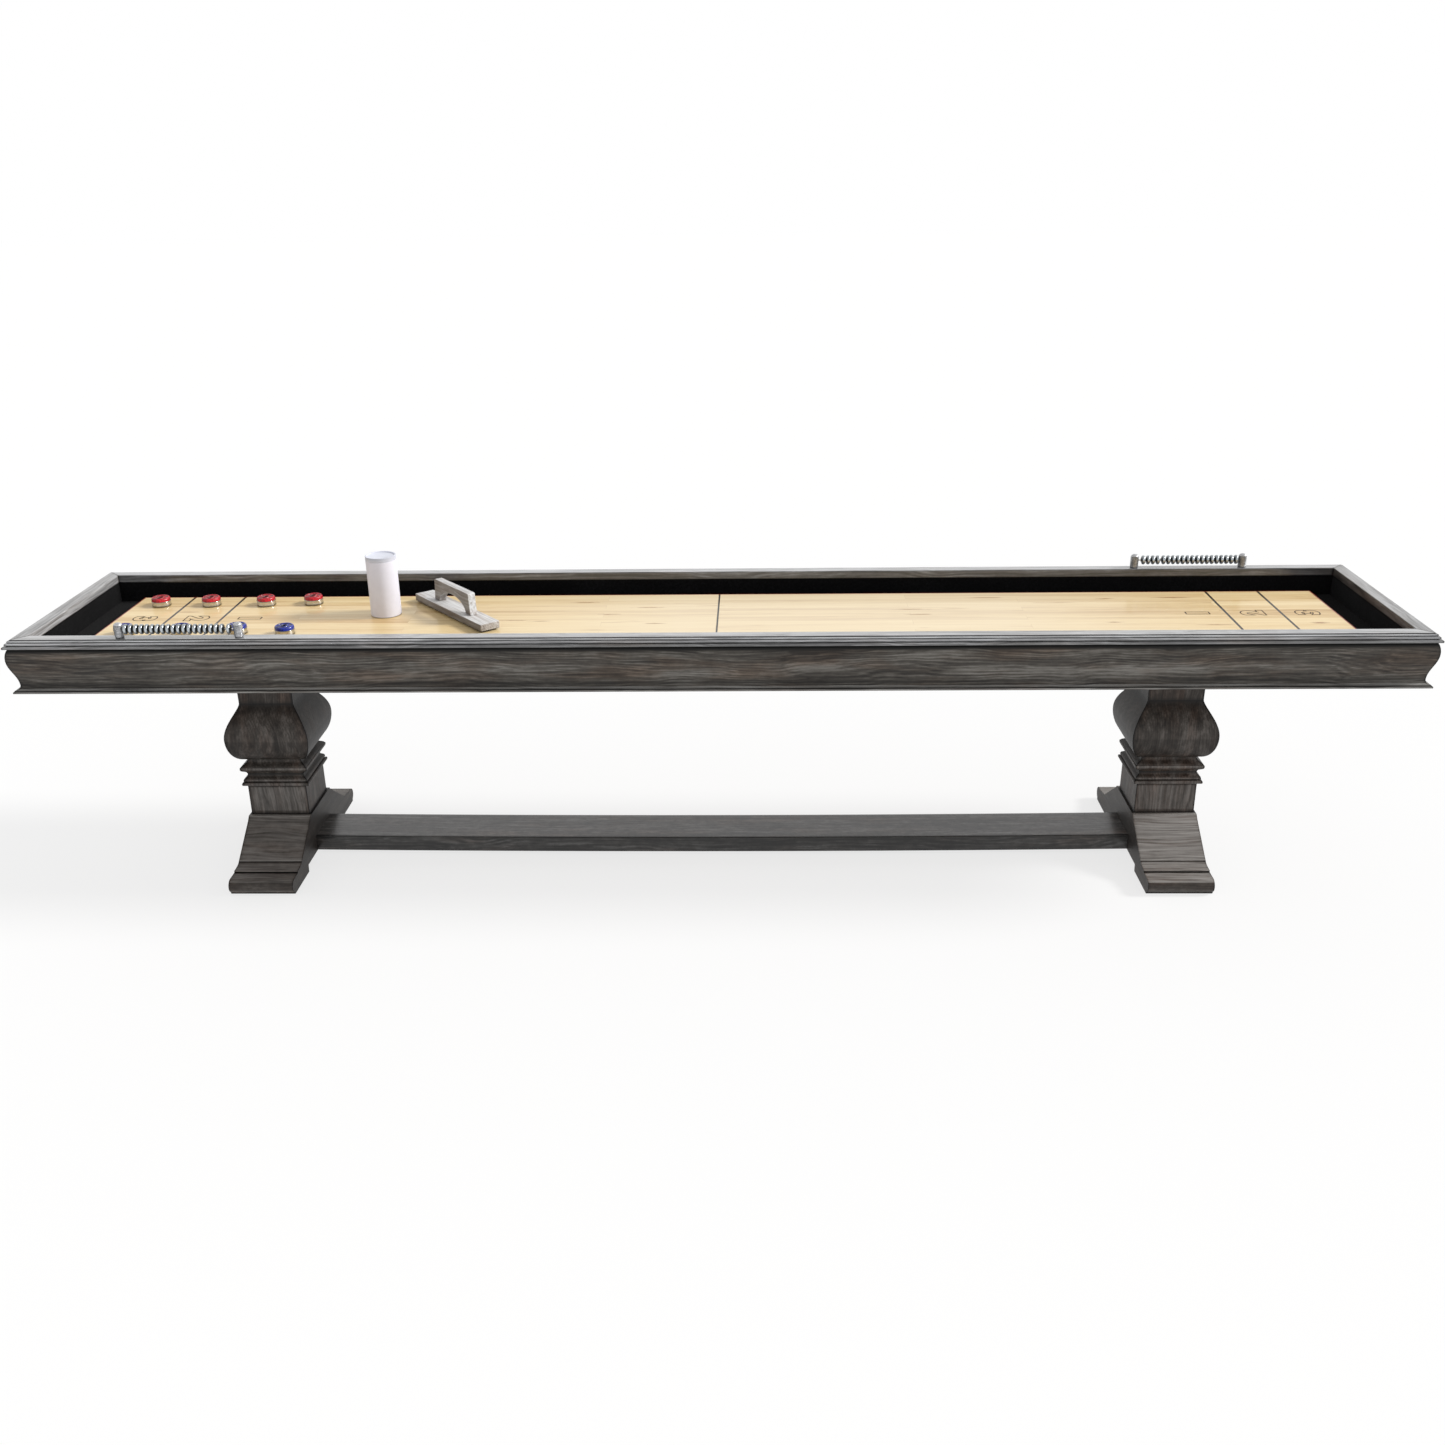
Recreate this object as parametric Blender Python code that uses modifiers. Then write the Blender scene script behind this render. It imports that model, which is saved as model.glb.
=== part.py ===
"""A twelve-foot shuffleboard table on two trestle pedestals, with its loose gear.

The row frame has its origin on the floor under the middle of the table: +X runs along
the table, +Y across it and +Z up. All sizes are in metres.
"""
import math

import bmesh
import bpy
from mathutils import Matrix, Vector

# Driving dimensions of the whole table
TABLE_LENGTH = 3.712
TABLE_WIDTH = 0.664
TABLE_HEIGHT = 0.760
HALF_LENGTH = TABLE_LENGTH / 2
HALF_WIDTH = TABLE_WIDTH / 2
GAP = 0.0003                    # clearance between pieces that touch
MITRE_GAP = 0.0002              # clearance at each side of a mitred corner
CAP_TOP = TABLE_HEIGHT
CAP_UNDERSIDE = 0.7375
CAP_FLAT_OUTER = 0.016          # insets from the cap's outer tip
CAP_FLAT_INNER = 0.053
APRON_BOTTOM = 0.6135
APRON_INNER = 0.0338
WALL_INNER = 0.0520
FLOOR_TOP = 0.6785
FLOOR_THICKNESS = 0.015

# Playing board
PLAYFIELD_X = 0.008             # the board lies a little towards the right end
PLAYFIELD_HALF_LENGTH = 1.710
PLAYFIELD_HALF_WIDTH = 0.2147
PLAYFIELD_TOP = 0.7106
PLAYFIELD_BOTTOM = FLOOR_TOP + GAP
BOARD_REST = PLAYFIELD_TOP + GAP        # where loose pieces stand

# Climate adjusters under the board
ADJUSTER_X = 0.620
WINDOW_HALF = (0.040, 0.165)
BRACKET_HALF_WIDTH = 0.025
BRACKET_LUG = (0.134, 0.140)
BRACKET_BAR = 0.005
ADJUSTER_LUG_BOTTOM = 0.640
ADJUSTER_ROD_Z = 0.652
ADJUSTER_ROD_RADIUS = 0.005

# Pedestals
PEDESTAL_X = 1.2765
PLATE_HALF = 0.140
PLATE_THICKNESS = 0.012
PLATE_TOP = FLOOR_TOP - FLOOR_THICKNESS - GAP
POST_TOP = PLATE_TOP - PLATE_THICKNESS - GAP
POST_BOTTOM = 0.3160
BULB_Z = 0.388
BULB_HALF = 0.1195
NECK_HALF = 0.0775
NECK_Z = 0.485
BULB_LEAD = 0.72                # how soon the bulb swells below the neck
BLOCK_HALF = 0.0853
FOOT_TOP = 0.143
FOOT_HALF_WIDTH = 0.0909
BOLT_Z = 0.043
BOLT_RADIUS = 0.005
BOLT_SINK_RADIUS = 0.0135       # the hole in the foot that the bolt's head sits in
BOLT_SINK_DEPTH = 0.011

# Stretcher between the feet
STRETCHER_HALF_LENGTH = PEDESTAL_X - FOOT_HALF_WIDTH - GAP
STRETCHER_HALF_WIDTH = 0.0755
STRETCHER_LOW = 0.0200
STRETCHER_HIGH = 0.0665
STRETCHER_BOW = 0.007
BOLT_REACH = 0.060              # how far a tie bolt runs into the stretcher

# Bead scorers on the cap
FRONT_SCORER_X = -1.395
BACK_SCORER_X = 1.383
SCORER_Y = HALF_WIDTH - (CAP_FLAT_OUTER + CAP_FLAT_INNER) / 2
SCORER_HALF_SPAN = 0.1575
POST_RADIUS = 0.0117
POST_HEIGHT = 0.0403
ROD_Z = CAP_TOP + 0.0225
ROD_RADIUS = 0.0022
ROD_EMBED = 0.008
BEAD_RADIUS = 0.0135
BEAD_HUB = 0.0048
BEAD_BORE = 0.0028
BEAD_PITCH = 0.0141

# Pucks, powder can and board brush
PUCK_RADIUS = 0.027
PUCK_BODY_HEIGHT = 0.0160
PUCK_HEIGHT = 0.0254
PUCKS = {
    "red": [(-1.620, 0.135), (-1.4725, 0.135), (-1.312, 0.136), (-1.176, 0.1455)],
    "blue": [(-1.6205, -0.127), (-1.463, -0.127), (-1.3095, -0.120), (-1.175, -0.131)],
}
CAN_XY = (-0.9385, 0.043)
CAN_RADIUS = 0.0425
CAN_WALL = 0.0016
CAN_HEIGHT = 0.1605
LID_HEIGHT = 0.0118
BRUSH_XY = (-0.736, 0.030)
BRUSH_ANGLE = math.radians(-50.3)
BRUSH_LENGTH = 0.383
BRUSH_WIDTH = 0.060
BRISTLE_HEIGHT = 0.0042
BRUSH_BOARD_HEIGHT = 0.0197
HANDLE_HEIGHT = 0.062
HANDLE_THICKNESS = 0.022
HANDLE_ARCH = (0.076, 0.038)     # half width and height of the handle's opening

COLOURS = {                     # name: (colour, roughness, metallic)
    "cap_wood": ((0.28, 0.26, 0.24, 1.0), 0.55, 0.0),
    "apron_wood": ((0.12, 0.10, 0.09, 1.0), 0.55, 0.0),
    "leg_wood": ((0.07, 0.06, 0.055, 1.0), 0.60, 0.0),
    "carpet": ((0.012, 0.012, 0.013, 1.0), 0.95, 0.0),
    "maple": ((0.80, 0.62, 0.38, 1.0), 0.18, 0.0),
    "steel": ((0.55, 0.55, 0.56, 1.0), 0.30, 1.0),
    "scorer_grey": ((0.36, 0.34, 0.33, 1.0), 0.45, 0.0),
    "chrome": ((0.80, 0.79, 0.76, 1.0), 0.10, 1.0),
    "puck_red": ((0.62, 0.02, 0.04, 1.0), 0.25, 0.0),
    "puck_blue": ((0.03, 0.06, 0.30, 1.0), 0.25, 0.0),
    "white_card": ((0.86, 0.86, 0.87, 1.0), 0.45, 0.0),
    "brush_wood": ((0.42, 0.38, 0.35, 1.0), 0.60, 0.0),
    "bristle": ((0.10, 0.09, 0.08, 1.0), 0.95, 0.0),
}


def clear_scene():
    for obj in list(bpy.data.objects):
        bpy.data.objects.remove(obj, do_unlink=True)


def new_collection(name):
    collection = bpy.data.collections.new(name)
    bpy.context.scene.collection.children.link(collection)
    return collection


def make_materials():
    made = {}
    for name, (colour, roughness, metallic) in COLOURS.items():
        material = bpy.data.materials.new(name)
        material.use_nodes = True
        shader = material.node_tree.nodes["Principled BSDF"]
        shader.inputs["Base Color"].default_value = colour
        shader.inputs["Roughness"].default_value = roughness
        shader.inputs["Metallic"].default_value = metallic
        made[name] = material
    return made


def add_mesh(name, bm, colour=None, location=(0, 0, 0), angle=0.0):
    """Finish a bmesh as an object; without a colour it is a hidden cutter."""
    bmesh.ops.recalc_face_normals(bm, faces=bm.faces)
    mesh = bpy.data.meshes.new(name)
    bm.to_mesh(mesh)
    bm.free()
    obj = bpy.data.objects.new(name, mesh)
    obj.location = location
    obj.rotation_euler.z = angle
    if colour is None:
        CUTTERS.objects.link(obj)
        obj.hide_render = True
        obj.display_type = "WIRE"
    else:
        PARTS.objects.link(obj)
        mesh.materials.append(MATERIALS[colour])
    return obj


def box(low, high):
    bm = bmesh.new()
    bmesh.ops.create_cube(bm, size=1.0)
    low, high = Vector(low), Vector(high)
    scale = Matrix.Diagonal((*(high - low), 1.0))
    bmesh.ops.transform(bm, matrix=Matrix.Translation((low + high) / 2) @ scale, verts=bm.verts)
    return bm


def cylinder(radius, start, end, segments=16):
    """A capped cylinder from one point to another."""
    start, end = Vector(start), Vector(end)
    bm = bmesh.new()
    turn = Vector((0, 0, 1)).rotation_difference(end - start).to_matrix().to_4x4()
    bmesh.ops.create_cone(bm, cap_ends=True, segments=segments, radius1=radius, radius2=radius,
                          depth=(end - start).length,
                          matrix=Matrix.Translation((start + end) / 2) @ turn)
    return bm


def prism(outline, half_length):
    """An outline of (y, z) points, extruded along X to both sides of the origin."""
    bm = bmesh.new()
    face = bm.faces.new([bm.verts.new((-half_length, y, z)) for y, z in outline])
    extruded = bmesh.ops.extrude_face_region(bm, geom=[face])
    moved = [item for item in extruded["geom"] if isinstance(item, bmesh.types.BMVert)]
    bmesh.ops.translate(bm, verts=moved, vec=(2 * half_length, 0, 0))
    return bm


def cut(obj, cutter, operation="DIFFERENCE"):
    modifier = obj.modifiers.new(cutter.name, "BOOLEAN")
    modifier.operation = operation
    modifier.object = cutter


def bevel(obj, width, segments=1, angle=math.radians(40)):
    modifier = obj.modifiers.new("edges", "BEVEL")
    modifier.width = width
    modifier.segments = segments
    modifier.limit_method = "ANGLE"
    modifier.angle_limit = angle


def turned(name, profile, colour, location=(0, 0, 0), steps=24, closed=False, axis="Z"):
    """A turned solid. The profile's (radius, height) points run down its outer side."""
    mesh = bpy.data.meshes.new(name)
    points = [(radius, 0.0, height) for radius, height in profile]
    edges = [(i, i + 1) for i in range(len(points) - 1)]
    if closed:
        edges.append((len(points) - 1, 0))
    mesh.from_pydata(points, edges, [])
    mesh.materials.append(MATERIALS[colour])
    obj = bpy.data.objects.new(name, mesh)
    PARTS.objects.link(obj)
    obj.location = location
    if axis == "X":
        obj.rotation_euler = (0, math.radians(90), 0)
    elif axis == "Y":
        obj.rotation_euler = (math.radians(-90), 0, 0)
    screw = obj.modifiers.new("turned", "SCREW")
    screw.axis = "Z"
    screw.steps = screw.render_steps = steps
    screw.use_merge_vertices = True
    screw.merge_threshold = 0.00001
    screw.use_smooth_shade = steps > 4
    return obj


def squared(name, profile, colour, location):
    """A square column whose four faces share one mitred profile of (half width, height)."""
    corners = [(half * math.sqrt(2), height) for half, height in profile]
    obj = turned(name, corners, colour, location, steps=4)
    obj.rotation_euler.z = math.radians(45)
    return obj


def arc(centre, radii, start, end, steps):
    """Points along an elliptical arc, angles in degrees."""
    points = []
    for i in range(steps + 1):
        angle = math.radians(start + (end - start) * i / steps)
        points.append((centre[0] + radii[0] * math.cos(angle), centre[1] + radii[1] * math.sin(angle)))
    return points


def ease(start, end, steps, lead=1.0):
    """Points of a smooth S-curve between two points, without the first one.

    With a lead below 1, the curve turns outward sooner.
    """
    points = []
    for i in range(1, steps + 1):
        t = i / steps
        blend = (1 - math.cos(math.pi * t ** lead)) / 2
        points.append((start[0] + (end[0] - start[0]) * blend, start[1] + (end[1] - start[1]) * t))
    return points


SIDES = {                       # side: (turn about Z, half length, half width)
    "front": (0.0, HALF_LENGTH, HALF_WIDTH),
    "back": (math.pi, HALF_LENGTH, HALF_WIDTH),
    "left": (-math.pi / 2, HALF_WIDTH, HALF_LENGTH),
    "right": (math.pi / 2, HALF_WIDTH, HALF_LENGTH),
}


def mitred_ring(prefix, profile, colour):
    """Four rails around the table, their ends sheared to 45 degree mitres.

    The profile's points are (inset from the table's outer edge, height).
    """
    for side, (turn, half_length, half_width) in SIDES.items():
        bm = prism([(inset - half_width, z) for inset, z in profile], half_length)
        for vert in bm.verts:
            inset = vert.co.y + half_width
            vert.co.x = math.copysign(half_length - inset - MITRE_GAP, vert.co.x)
        bmesh.ops.rotate(bm, verts=bm.verts, cent=(0, 0, 0), matrix=Matrix.Rotation(turn, 3, "Z"))
        add_mesh(f"{prefix}_{side}", bm, colour)


def build_cap_rails():
    lip = [(0.0015, CAP_UNDERSIDE), (0.0, 0.7390), (0.0, 0.7425), (0.0020, 0.7450), (0.0090, 0.7458)]
    bead = [(0.0068, 0.7475), (0.0062, 0.7505), (0.0082, 0.7540), (0.0120, 0.7562), (0.0152, 0.7570)]
    flat = [(CAP_FLAT_OUTER, CAP_TOP), (CAP_FLAT_INNER - 0.0015, CAP_TOP),
            (CAP_FLAT_INNER, CAP_TOP - 0.0015), (CAP_FLAT_INNER, CAP_UNDERSIDE)]
    mitred_ring("cap_rail", lip + bead + flat, "cap_wood")


def build_aprons():
    top = CAP_UNDERSIDE - GAP
    bulge_z, waist_z = 0.7075, 0.632
    shoulder = arc((0.0145, bulge_z), (0.0119, 0.0235), 90, 180, 4)
    ogee = ease((0.0026, bulge_z), (0.0200, waist_z), 7)
    cavetto = arc((0.0085, waist_z), (0.0115, 0.0115), 0, -90, 3)[1:]
    foot = [(0.0085, 0.6198), (0.0058, 0.6192), (0.0045, 0.6178), (0.0045, APRON_BOTTOM)]
    inside = [(APRON_INNER, APRON_BOTTOM), (APRON_INNER, top)]
    mitred_ring("apron", [(0.0145, top)] + shoulder + ogee + cavetto + foot + inside, "apron_wood")


def build_gutter():
    """The carpeted walls and floor around the board, with windows for the adjusters."""
    outer, top, low = APRON_INNER + GAP, CAP_UNDERSIDE - GAP, FLOOR_TOP + GAP
    walls = [(outer, top), (outer, low), (WALL_INNER, low), (WALL_INNER, top)]
    mitred_ring("gutter_wall", walls, "carpet")
    x, y = HALF_LENGTH - outer, HALF_WIDTH - outer
    floor = add_mesh("gutter_floor", box((-x, -y, FLOOR_TOP - FLOOR_THICKNESS), (x, y, FLOOR_TOP)),
                     "carpet")
    for side, sign in (("left", -1), ("right", 1)):
        centre = Vector((sign * ADJUSTER_X, 0, FLOOR_TOP))
        half = Vector((*WINDOW_HALF, 2 * FLOOR_THICKNESS))
        cut(floor, add_mesh(f"cutter_window_{side}", box(centre - half, centre + half)))


def build_playfield():
    low = (PLAYFIELD_X - PLAYFIELD_HALF_LENGTH, -PLAYFIELD_HALF_WIDTH, PLAYFIELD_BOTTOM)
    high = (PLAYFIELD_X + PLAYFIELD_HALF_LENGTH, PLAYFIELD_HALF_WIDTH, PLAYFIELD_TOP)
    bevel(add_mesh("playfield", box(low, high), "maple"), 0.0015)


def build_adjusters():
    """Steel channels under the board, each with a threaded rod that bows the board."""
    inner, outer = BRACKET_LUG
    top = PLAYFIELD_BOTTOM - GAP
    low, bar_low = ADJUSTER_LUG_BOTTOM, top - BRACKET_BAR
    channel = [(-outer, top), (-outer, low), (-inner, low), (-inner, bar_low),
               (inner, bar_low), (inner, low), (outer, low), (outer, top)]
    nut_start, nut_end, rod_end = outer + 0.0005, outer + 0.009, outer + 0.015
    half_rod = [(0, rod_end), (ADJUSTER_ROD_RADIUS, rod_end), (ADJUSTER_ROD_RADIUS, nut_end),
                (0.009, nut_end), (0.009, nut_start), (ADJUSTER_ROD_RADIUS, nut_start),
                (ADJUSTER_ROD_RADIUS, 0.008), (0.011, 0.008)]
    rod = half_rod + [(radius, -along) for radius, along in reversed(half_rod)]
    for side, sign in (("left", -1), ("right", 1)):
        x = sign * ADJUSTER_X
        bracket = add_mesh(f"climate_bracket_{side}", prism(channel, BRACKET_HALF_WIDTH), "steel",
                           (x, 0, 0))
        bore = cylinder(ADJUSTER_ROD_RADIUS + 2 * GAP, (x, -2 * outer, ADJUSTER_ROD_Z),
                        (x, 2 * outer, ADJUSTER_ROD_Z), 12)
        cut(bracket, add_mesh(f"cutter_lugs_{side}", bore))
        turned(f"climate_rod_{side}", rod, "steel", (x, 0, ADJUSTER_ROD_Z), 12, axis="Y")


def build_pedestal(side, sign):
    x = sign * PEDESTAL_X
    plate = add_mesh(f"pedestal_plate_{side}",
                     box((-PLATE_HALF, -PLATE_HALF, PLATE_TOP - PLATE_THICKNESS),
                         (PLATE_HALF, PLATE_HALF, PLATE_TOP)), "leg_wood", (x, 0, 0))
    head_z, reach = PLATE_TOP - PLATE_THICKNESS, 0.115
    for i in range(4):
        hx, hy = (-reach, reach)[i % 2], (-reach, reach)[i // 2]
        head = cylinder(0.007, (x + hx, hy, head_z - 0.005), (x + hx, hy, head_z + 0.004), 12)
        cut(plate, add_mesh(f"bolt_head_{side}_{i}", head), "UNION")

    neck = [(0, POST_TOP), (0.0800, POST_TOP), (0.0786, 0.60), (0.0778, 0.53), (NECK_HALF, NECK_Z)]
    bulb = ease((NECK_HALF, NECK_Z), (BULB_HALF, BULB_Z), 8, BULB_LEAD)
    under = arc((NECK_HALF, BULB_Z), (BULB_HALF - NECK_HALF, BULB_Z - POST_BOTTOM), 0, -90, 7)[1:]
    squared(f"pedestal_post_{side}", neck + bulb + under + [(0, POST_BOTTOM)], "leg_wood", (x, 0, 0))

    top = POST_BOTTOM - GAP
    upper_lip = [(0, top), (0.0765, top), (0.0850, 0.3055), (0.0945, 0.2945), (0.0968, 0.2925),
                 (0.0968, 0.2865), (0.0870, 0.2770), (0.0825, 0.2730)]
    lower_lip = [(0.0815, 0.2640), (0.0850, 0.2590), (0.0900, 0.2560), (0.0922, 0.2530),
                 (0.0922, 0.2500), (0.0895, 0.2475), (0.0940, 0.2460), (0.0968, 0.2440),
                 (0.0968, 0.2390), (0.0945, 0.2365), (0.0860, 0.2350)]
    block = [(0.0846, 0.2340), (BLOCK_HALF, FOOT_TOP + GAP), (0, FOOT_TOP + GAP)]
    squared(f"pedestal_base_{side}", upper_lip + lower_lip + block, "leg_wood", (x, 0, 0))


def foot_outline():
    """Half of the sledge foot's side view, from the top middle out and under to the middle."""
    slope = [(0.0975, FOOT_TOP), (0.1080, 0.1320), (0.2220, 0.0560)]
    flare = [(0.2340, 0.0515), (0.2620, 0.0490), (0.2620, 0.0462), (0.2590, 0.0450)]
    toe = [(0.2640, 0.0446), (0.2960, 0.0442)] + arc((0.2960, 0.0260), (0.0205, 0.0182), 72, -10, 4)
    pad = [(0.3070, 0.0), (0.1715, 0.0), (0.1695, 0.0207)]
    return slope + flare + toe + pad


def build_foot(side, sign):
    half = foot_outline()
    outline = half + [(-y, z) for y, z in reversed(half)]
    x = sign * PEDESTAL_X
    foot = add_mesh(f"pedestal_foot_{side}", prism(outline, FOOT_HALF_WIDTH), "leg_wood", (x, 0, 0))
    outer_x = x + sign * FOOT_HALF_WIDTH
    sink_x, start_x = outer_x - sign * BOLT_SINK_DEPTH, outer_x + sign * BOLT_SINK_DEPTH
    end_x = sign * (STRETCHER_HALF_LENGTH - BOLT_REACH)
    far_x = end_x - sign * 0.001
    bore = add_mesh(f"cutter_bolt_{side}",
                    cylinder(BOLT_RADIUS + 2 * GAP, (start_x, 0, BOLT_Z), (far_x, 0, BOLT_Z), 12))
    sink = add_mesh(f"cutter_sink_{side}",
                    cylinder(BOLT_SINK_RADIUS, (start_x, 0, BOLT_Z), (sink_x, 0, BOLT_Z), 16))
    cut(foot, bore)
    cut(foot, sink)
    length = abs(sink_x - end_x)
    bolt = [(0, 0.0068), (0.0085, 0.0068), (0.0105, 0.0045), (0.0105, GAP), (BOLT_RADIUS, GAP),
            (BOLT_RADIUS, -length), (0, -length)]
    obj = turned(f"stretcher_bolt_{side}", bolt, "steel", (sink_x, 0, BOLT_Z), 12)
    obj.rotation_euler.y = sign * math.radians(90)
    return bore


def build_stretcher(bores):
    """A wide flat rail that dips a little towards its middle."""
    bm = box((-STRETCHER_HALF_LENGTH, -STRETCHER_HALF_WIDTH, STRETCHER_LOW),
             (STRETCHER_HALF_LENGTH, STRETCHER_HALF_WIDTH, STRETCHER_HIGH))
    long_edges = [e for e in bm.edges if abs(e.verts[0].co.x - e.verts[1].co.x) > STRETCHER_HALF_LENGTH]
    bmesh.ops.subdivide_edges(bm, edges=long_edges, cuts=11, use_grid_fill=True)
    for vert in bm.verts:
        vert.co.z -= STRETCHER_BOW * (1 - (vert.co.x / STRETCHER_HALF_LENGTH) ** 2)
    stretcher = add_mesh("stretcher", bm, "leg_wood")
    bevel(stretcher, 0.003)
    for bore in bores:
        cut(stretcher, bore)


def build_scorer(side, x, y, groups):
    """Two posts, a rod and two runs of beads.

    groups holds (name, distance of the first bead from the left post, number of beads).
    """
    base = CAP_TOP + GAP
    dome = arc((0, base + POST_HEIGHT - 0.007), (POST_RADIUS, 0.007), 90, 0, 3)
    post = dome + [(POST_RADIUS, base + 0.0015), (POST_RADIUS - 0.001, base), (0, base)]
    for end, sign in (("left", -1), ("right", 1)):
        post_x = x + sign * SCORER_HALF_SPAN
        obj = turned(f"scorer_post_{side}_{end}", post, "scorer_grey", (post_x, y, 0), 16)
        inner, deep = POST_RADIUS + 0.001, POST_RADIUS - ROD_EMBED - 0.0005
        bore = cylinder(ROD_RADIUS + GAP, (post_x - sign * inner, y, ROD_Z),
                        (post_x - sign * deep, y, ROD_Z), 10)
        cut(obj, add_mesh(f"cutter_{side}_{end}", bore))
    half_rod = SCORER_HALF_SPAN - POST_RADIUS + ROD_EMBED
    rod = [(0, half_rod), (ROD_RADIUS, half_rod), (ROD_RADIUS, -half_rod), (0, -half_rod)]
    turned(f"scorer_rod_{side}", rod, "chrome", (x, y, ROD_Z), 10, axis="X")
    for name, start, count in groups:
        length = count * BEAD_PITCH
        outline = []
        for i in range(count):
            middle = length / 2 - (i + 0.5) * BEAD_PITCH
            outline += [(BEAD_HUB, middle + BEAD_PITCH / 2), (BEAD_RADIUS, middle + 0.0042),
                        (BEAD_RADIUS, middle - 0.0042)]
        outline += [(BEAD_HUB, -length / 2), (BEAD_BORE, -length / 2), (BEAD_BORE, length / 2)]
        middle_x = x - SCORER_HALF_SPAN + POST_RADIUS + start + length / 2
        turned(f"scorer_beads_{side}_{name}", outline, "scorer_grey", (middle_x, y, ROD_Z), 12,
               closed=True, axis="X")


def build_pucks():
    body = [(0, PUCK_BODY_HEIGHT), (0.0262, PUCK_BODY_HEIGHT), (PUCK_RADIUS, 0.0150),
            (PUCK_RADIUS, 0.0018), (0.0256, 0), (0, 0)]
    low = PUCK_BODY_HEIGHT + GAP
    cap = [(0.0072, PUCK_HEIGHT), (0.0228, PUCK_HEIGHT), (0.0252, 0.0238), (0.0261, 0.0212),
           (0.0261, low), (0.0065, low), (0.0065, 0.0244)]
    for colour, places in PUCKS.items():
        for i, (x, y) in enumerate(places, 1):
            turned(f"puck_{colour}_{i}_body", body, "chrome", (x, y, BOARD_REST), 20)
            turned(f"puck_{colour}_{i}_cap", cap, f"puck_{colour}", (x, y, BOARD_REST), 20, closed=True)


def build_powder_can():
    inside = CAN_RADIUS - CAN_WALL
    body = [(CAN_RADIUS, CAN_HEIGHT), (CAN_RADIUS, 0.002), (CAN_RADIUS - 0.002, 0), (0, 0)]
    body = [(0, 0.002), (inside, 0.002), (inside, CAN_HEIGHT)] + body
    turned("powder_can", body, "white_card", (*CAN_XY, BOARD_REST), 24)
    low, plug = CAN_HEIGHT + GAP, inside - 0.0005
    top = low + LID_HEIGHT
    lid = [(0, top), (CAN_RADIUS - 0.001, top), (CAN_RADIUS, top - 0.001), (CAN_RADIUS, low),
           (plug, low), (plug, low - 0.008), (0, low - 0.008)]
    turned("powder_can_lid", lid, "white_card", (*CAN_XY, BOARD_REST), 24)


def build_brush():
    place = (*BRUSH_XY, BOARD_REST)
    half_length, half_width = BRUSH_LENGTH / 2, BRUSH_WIDTH / 2
    pad = box((-half_length + 0.006, -half_width + 0.004, 0),
              (half_length - 0.006, half_width - 0.004, BRISTLE_HEIGHT))
    add_mesh("brush_bristles", pad, "bristle", place, BRUSH_ANGLE)
    board_low = BRISTLE_HEIGHT + GAP
    board_high = board_low + BRUSH_BOARD_HEIGHT
    board = add_mesh("brush_board", box((-half_length, -half_width, board_low),
                                        (half_length, half_width, board_high)),
                     "brush_wood", place, BRUSH_ANGLE)
    bevel(board, 0.002)
    low = board_high + GAP
    top = low + HANDLE_HEIGHT
    right = [(0.104, low), (0.098, top - 0.010), (0.090, top)]
    opening = arc((0, low), HANDLE_ARCH, 180, 0, 8)
    outline = right + [(-y, z) for y, z in reversed(right)] + opening
    bm = prism(outline, HANDLE_THICKNESS / 2)
    bmesh.ops.rotate(bm, verts=bm.verts, cent=(0, 0, 0), matrix=Matrix.Rotation(math.pi / 2, 3, "Z"))
    add_mesh("brush_handle", bm, "brush_wood", place, BRUSH_ANGLE)


clear_scene()
PARTS = new_collection("shuffleboard_table")
CUTTERS = new_collection("cutters")
MATERIALS = make_materials()

build_cap_rails()
build_aprons()
build_gutter()
build_playfield()
build_adjusters()
bolt_bores = []
for pedestal_side, pedestal_sign in (("left", -1), ("right", 1)):
    build_pedestal(pedestal_side, pedestal_sign)
    bolt_bores.append(build_foot(pedestal_side, pedestal_sign))
build_stretcher(bolt_bores)
build_scorer("front", FRONT_SCORER_X, -SCORER_Y, [("left", 0.0004, 19), ("right", 0.2725, 1)])
build_scorer("back", BACK_SCORER_X, SCORER_Y, [("left", 0.0065, 4), ("right", 0.0655, 16)])
build_pucks()
build_powder_can()
build_brush()
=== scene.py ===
"""The finished look of the shuffleboard table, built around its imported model.

Fine meshes stand for the plain solids of the woodwork, the board, the scorers and the loose
gear. Every piece has a procedural material. All places are in metres, in the model's frame:
+X along the table, +Y across it, +Z up, with the floor at zero.
"""
import math

import bmesh
import bpy
from mathutils import Matrix, Vector


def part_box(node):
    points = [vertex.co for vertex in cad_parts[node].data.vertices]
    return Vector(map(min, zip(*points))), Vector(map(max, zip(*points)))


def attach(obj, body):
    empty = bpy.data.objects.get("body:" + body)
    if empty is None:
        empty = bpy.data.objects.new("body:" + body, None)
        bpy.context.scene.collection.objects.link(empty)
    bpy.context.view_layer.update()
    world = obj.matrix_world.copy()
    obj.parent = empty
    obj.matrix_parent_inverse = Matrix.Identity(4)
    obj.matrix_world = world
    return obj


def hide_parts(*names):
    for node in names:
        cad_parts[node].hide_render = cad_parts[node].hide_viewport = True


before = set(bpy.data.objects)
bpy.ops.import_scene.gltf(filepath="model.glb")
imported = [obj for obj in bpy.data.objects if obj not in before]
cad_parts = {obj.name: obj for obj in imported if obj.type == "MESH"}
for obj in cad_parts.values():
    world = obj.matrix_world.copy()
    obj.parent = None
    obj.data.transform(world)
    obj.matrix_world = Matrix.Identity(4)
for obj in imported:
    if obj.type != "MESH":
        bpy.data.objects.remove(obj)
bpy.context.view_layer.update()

# The table's main sizes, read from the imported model
CAP_LOW, CAP_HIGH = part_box("cap_rail_front")
HALF_LENGTH = CAP_HIGH.x
HALF_WIDTH = -CAP_LOW.y
APRON_LOW, APRON_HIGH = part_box("apron_front")
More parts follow.
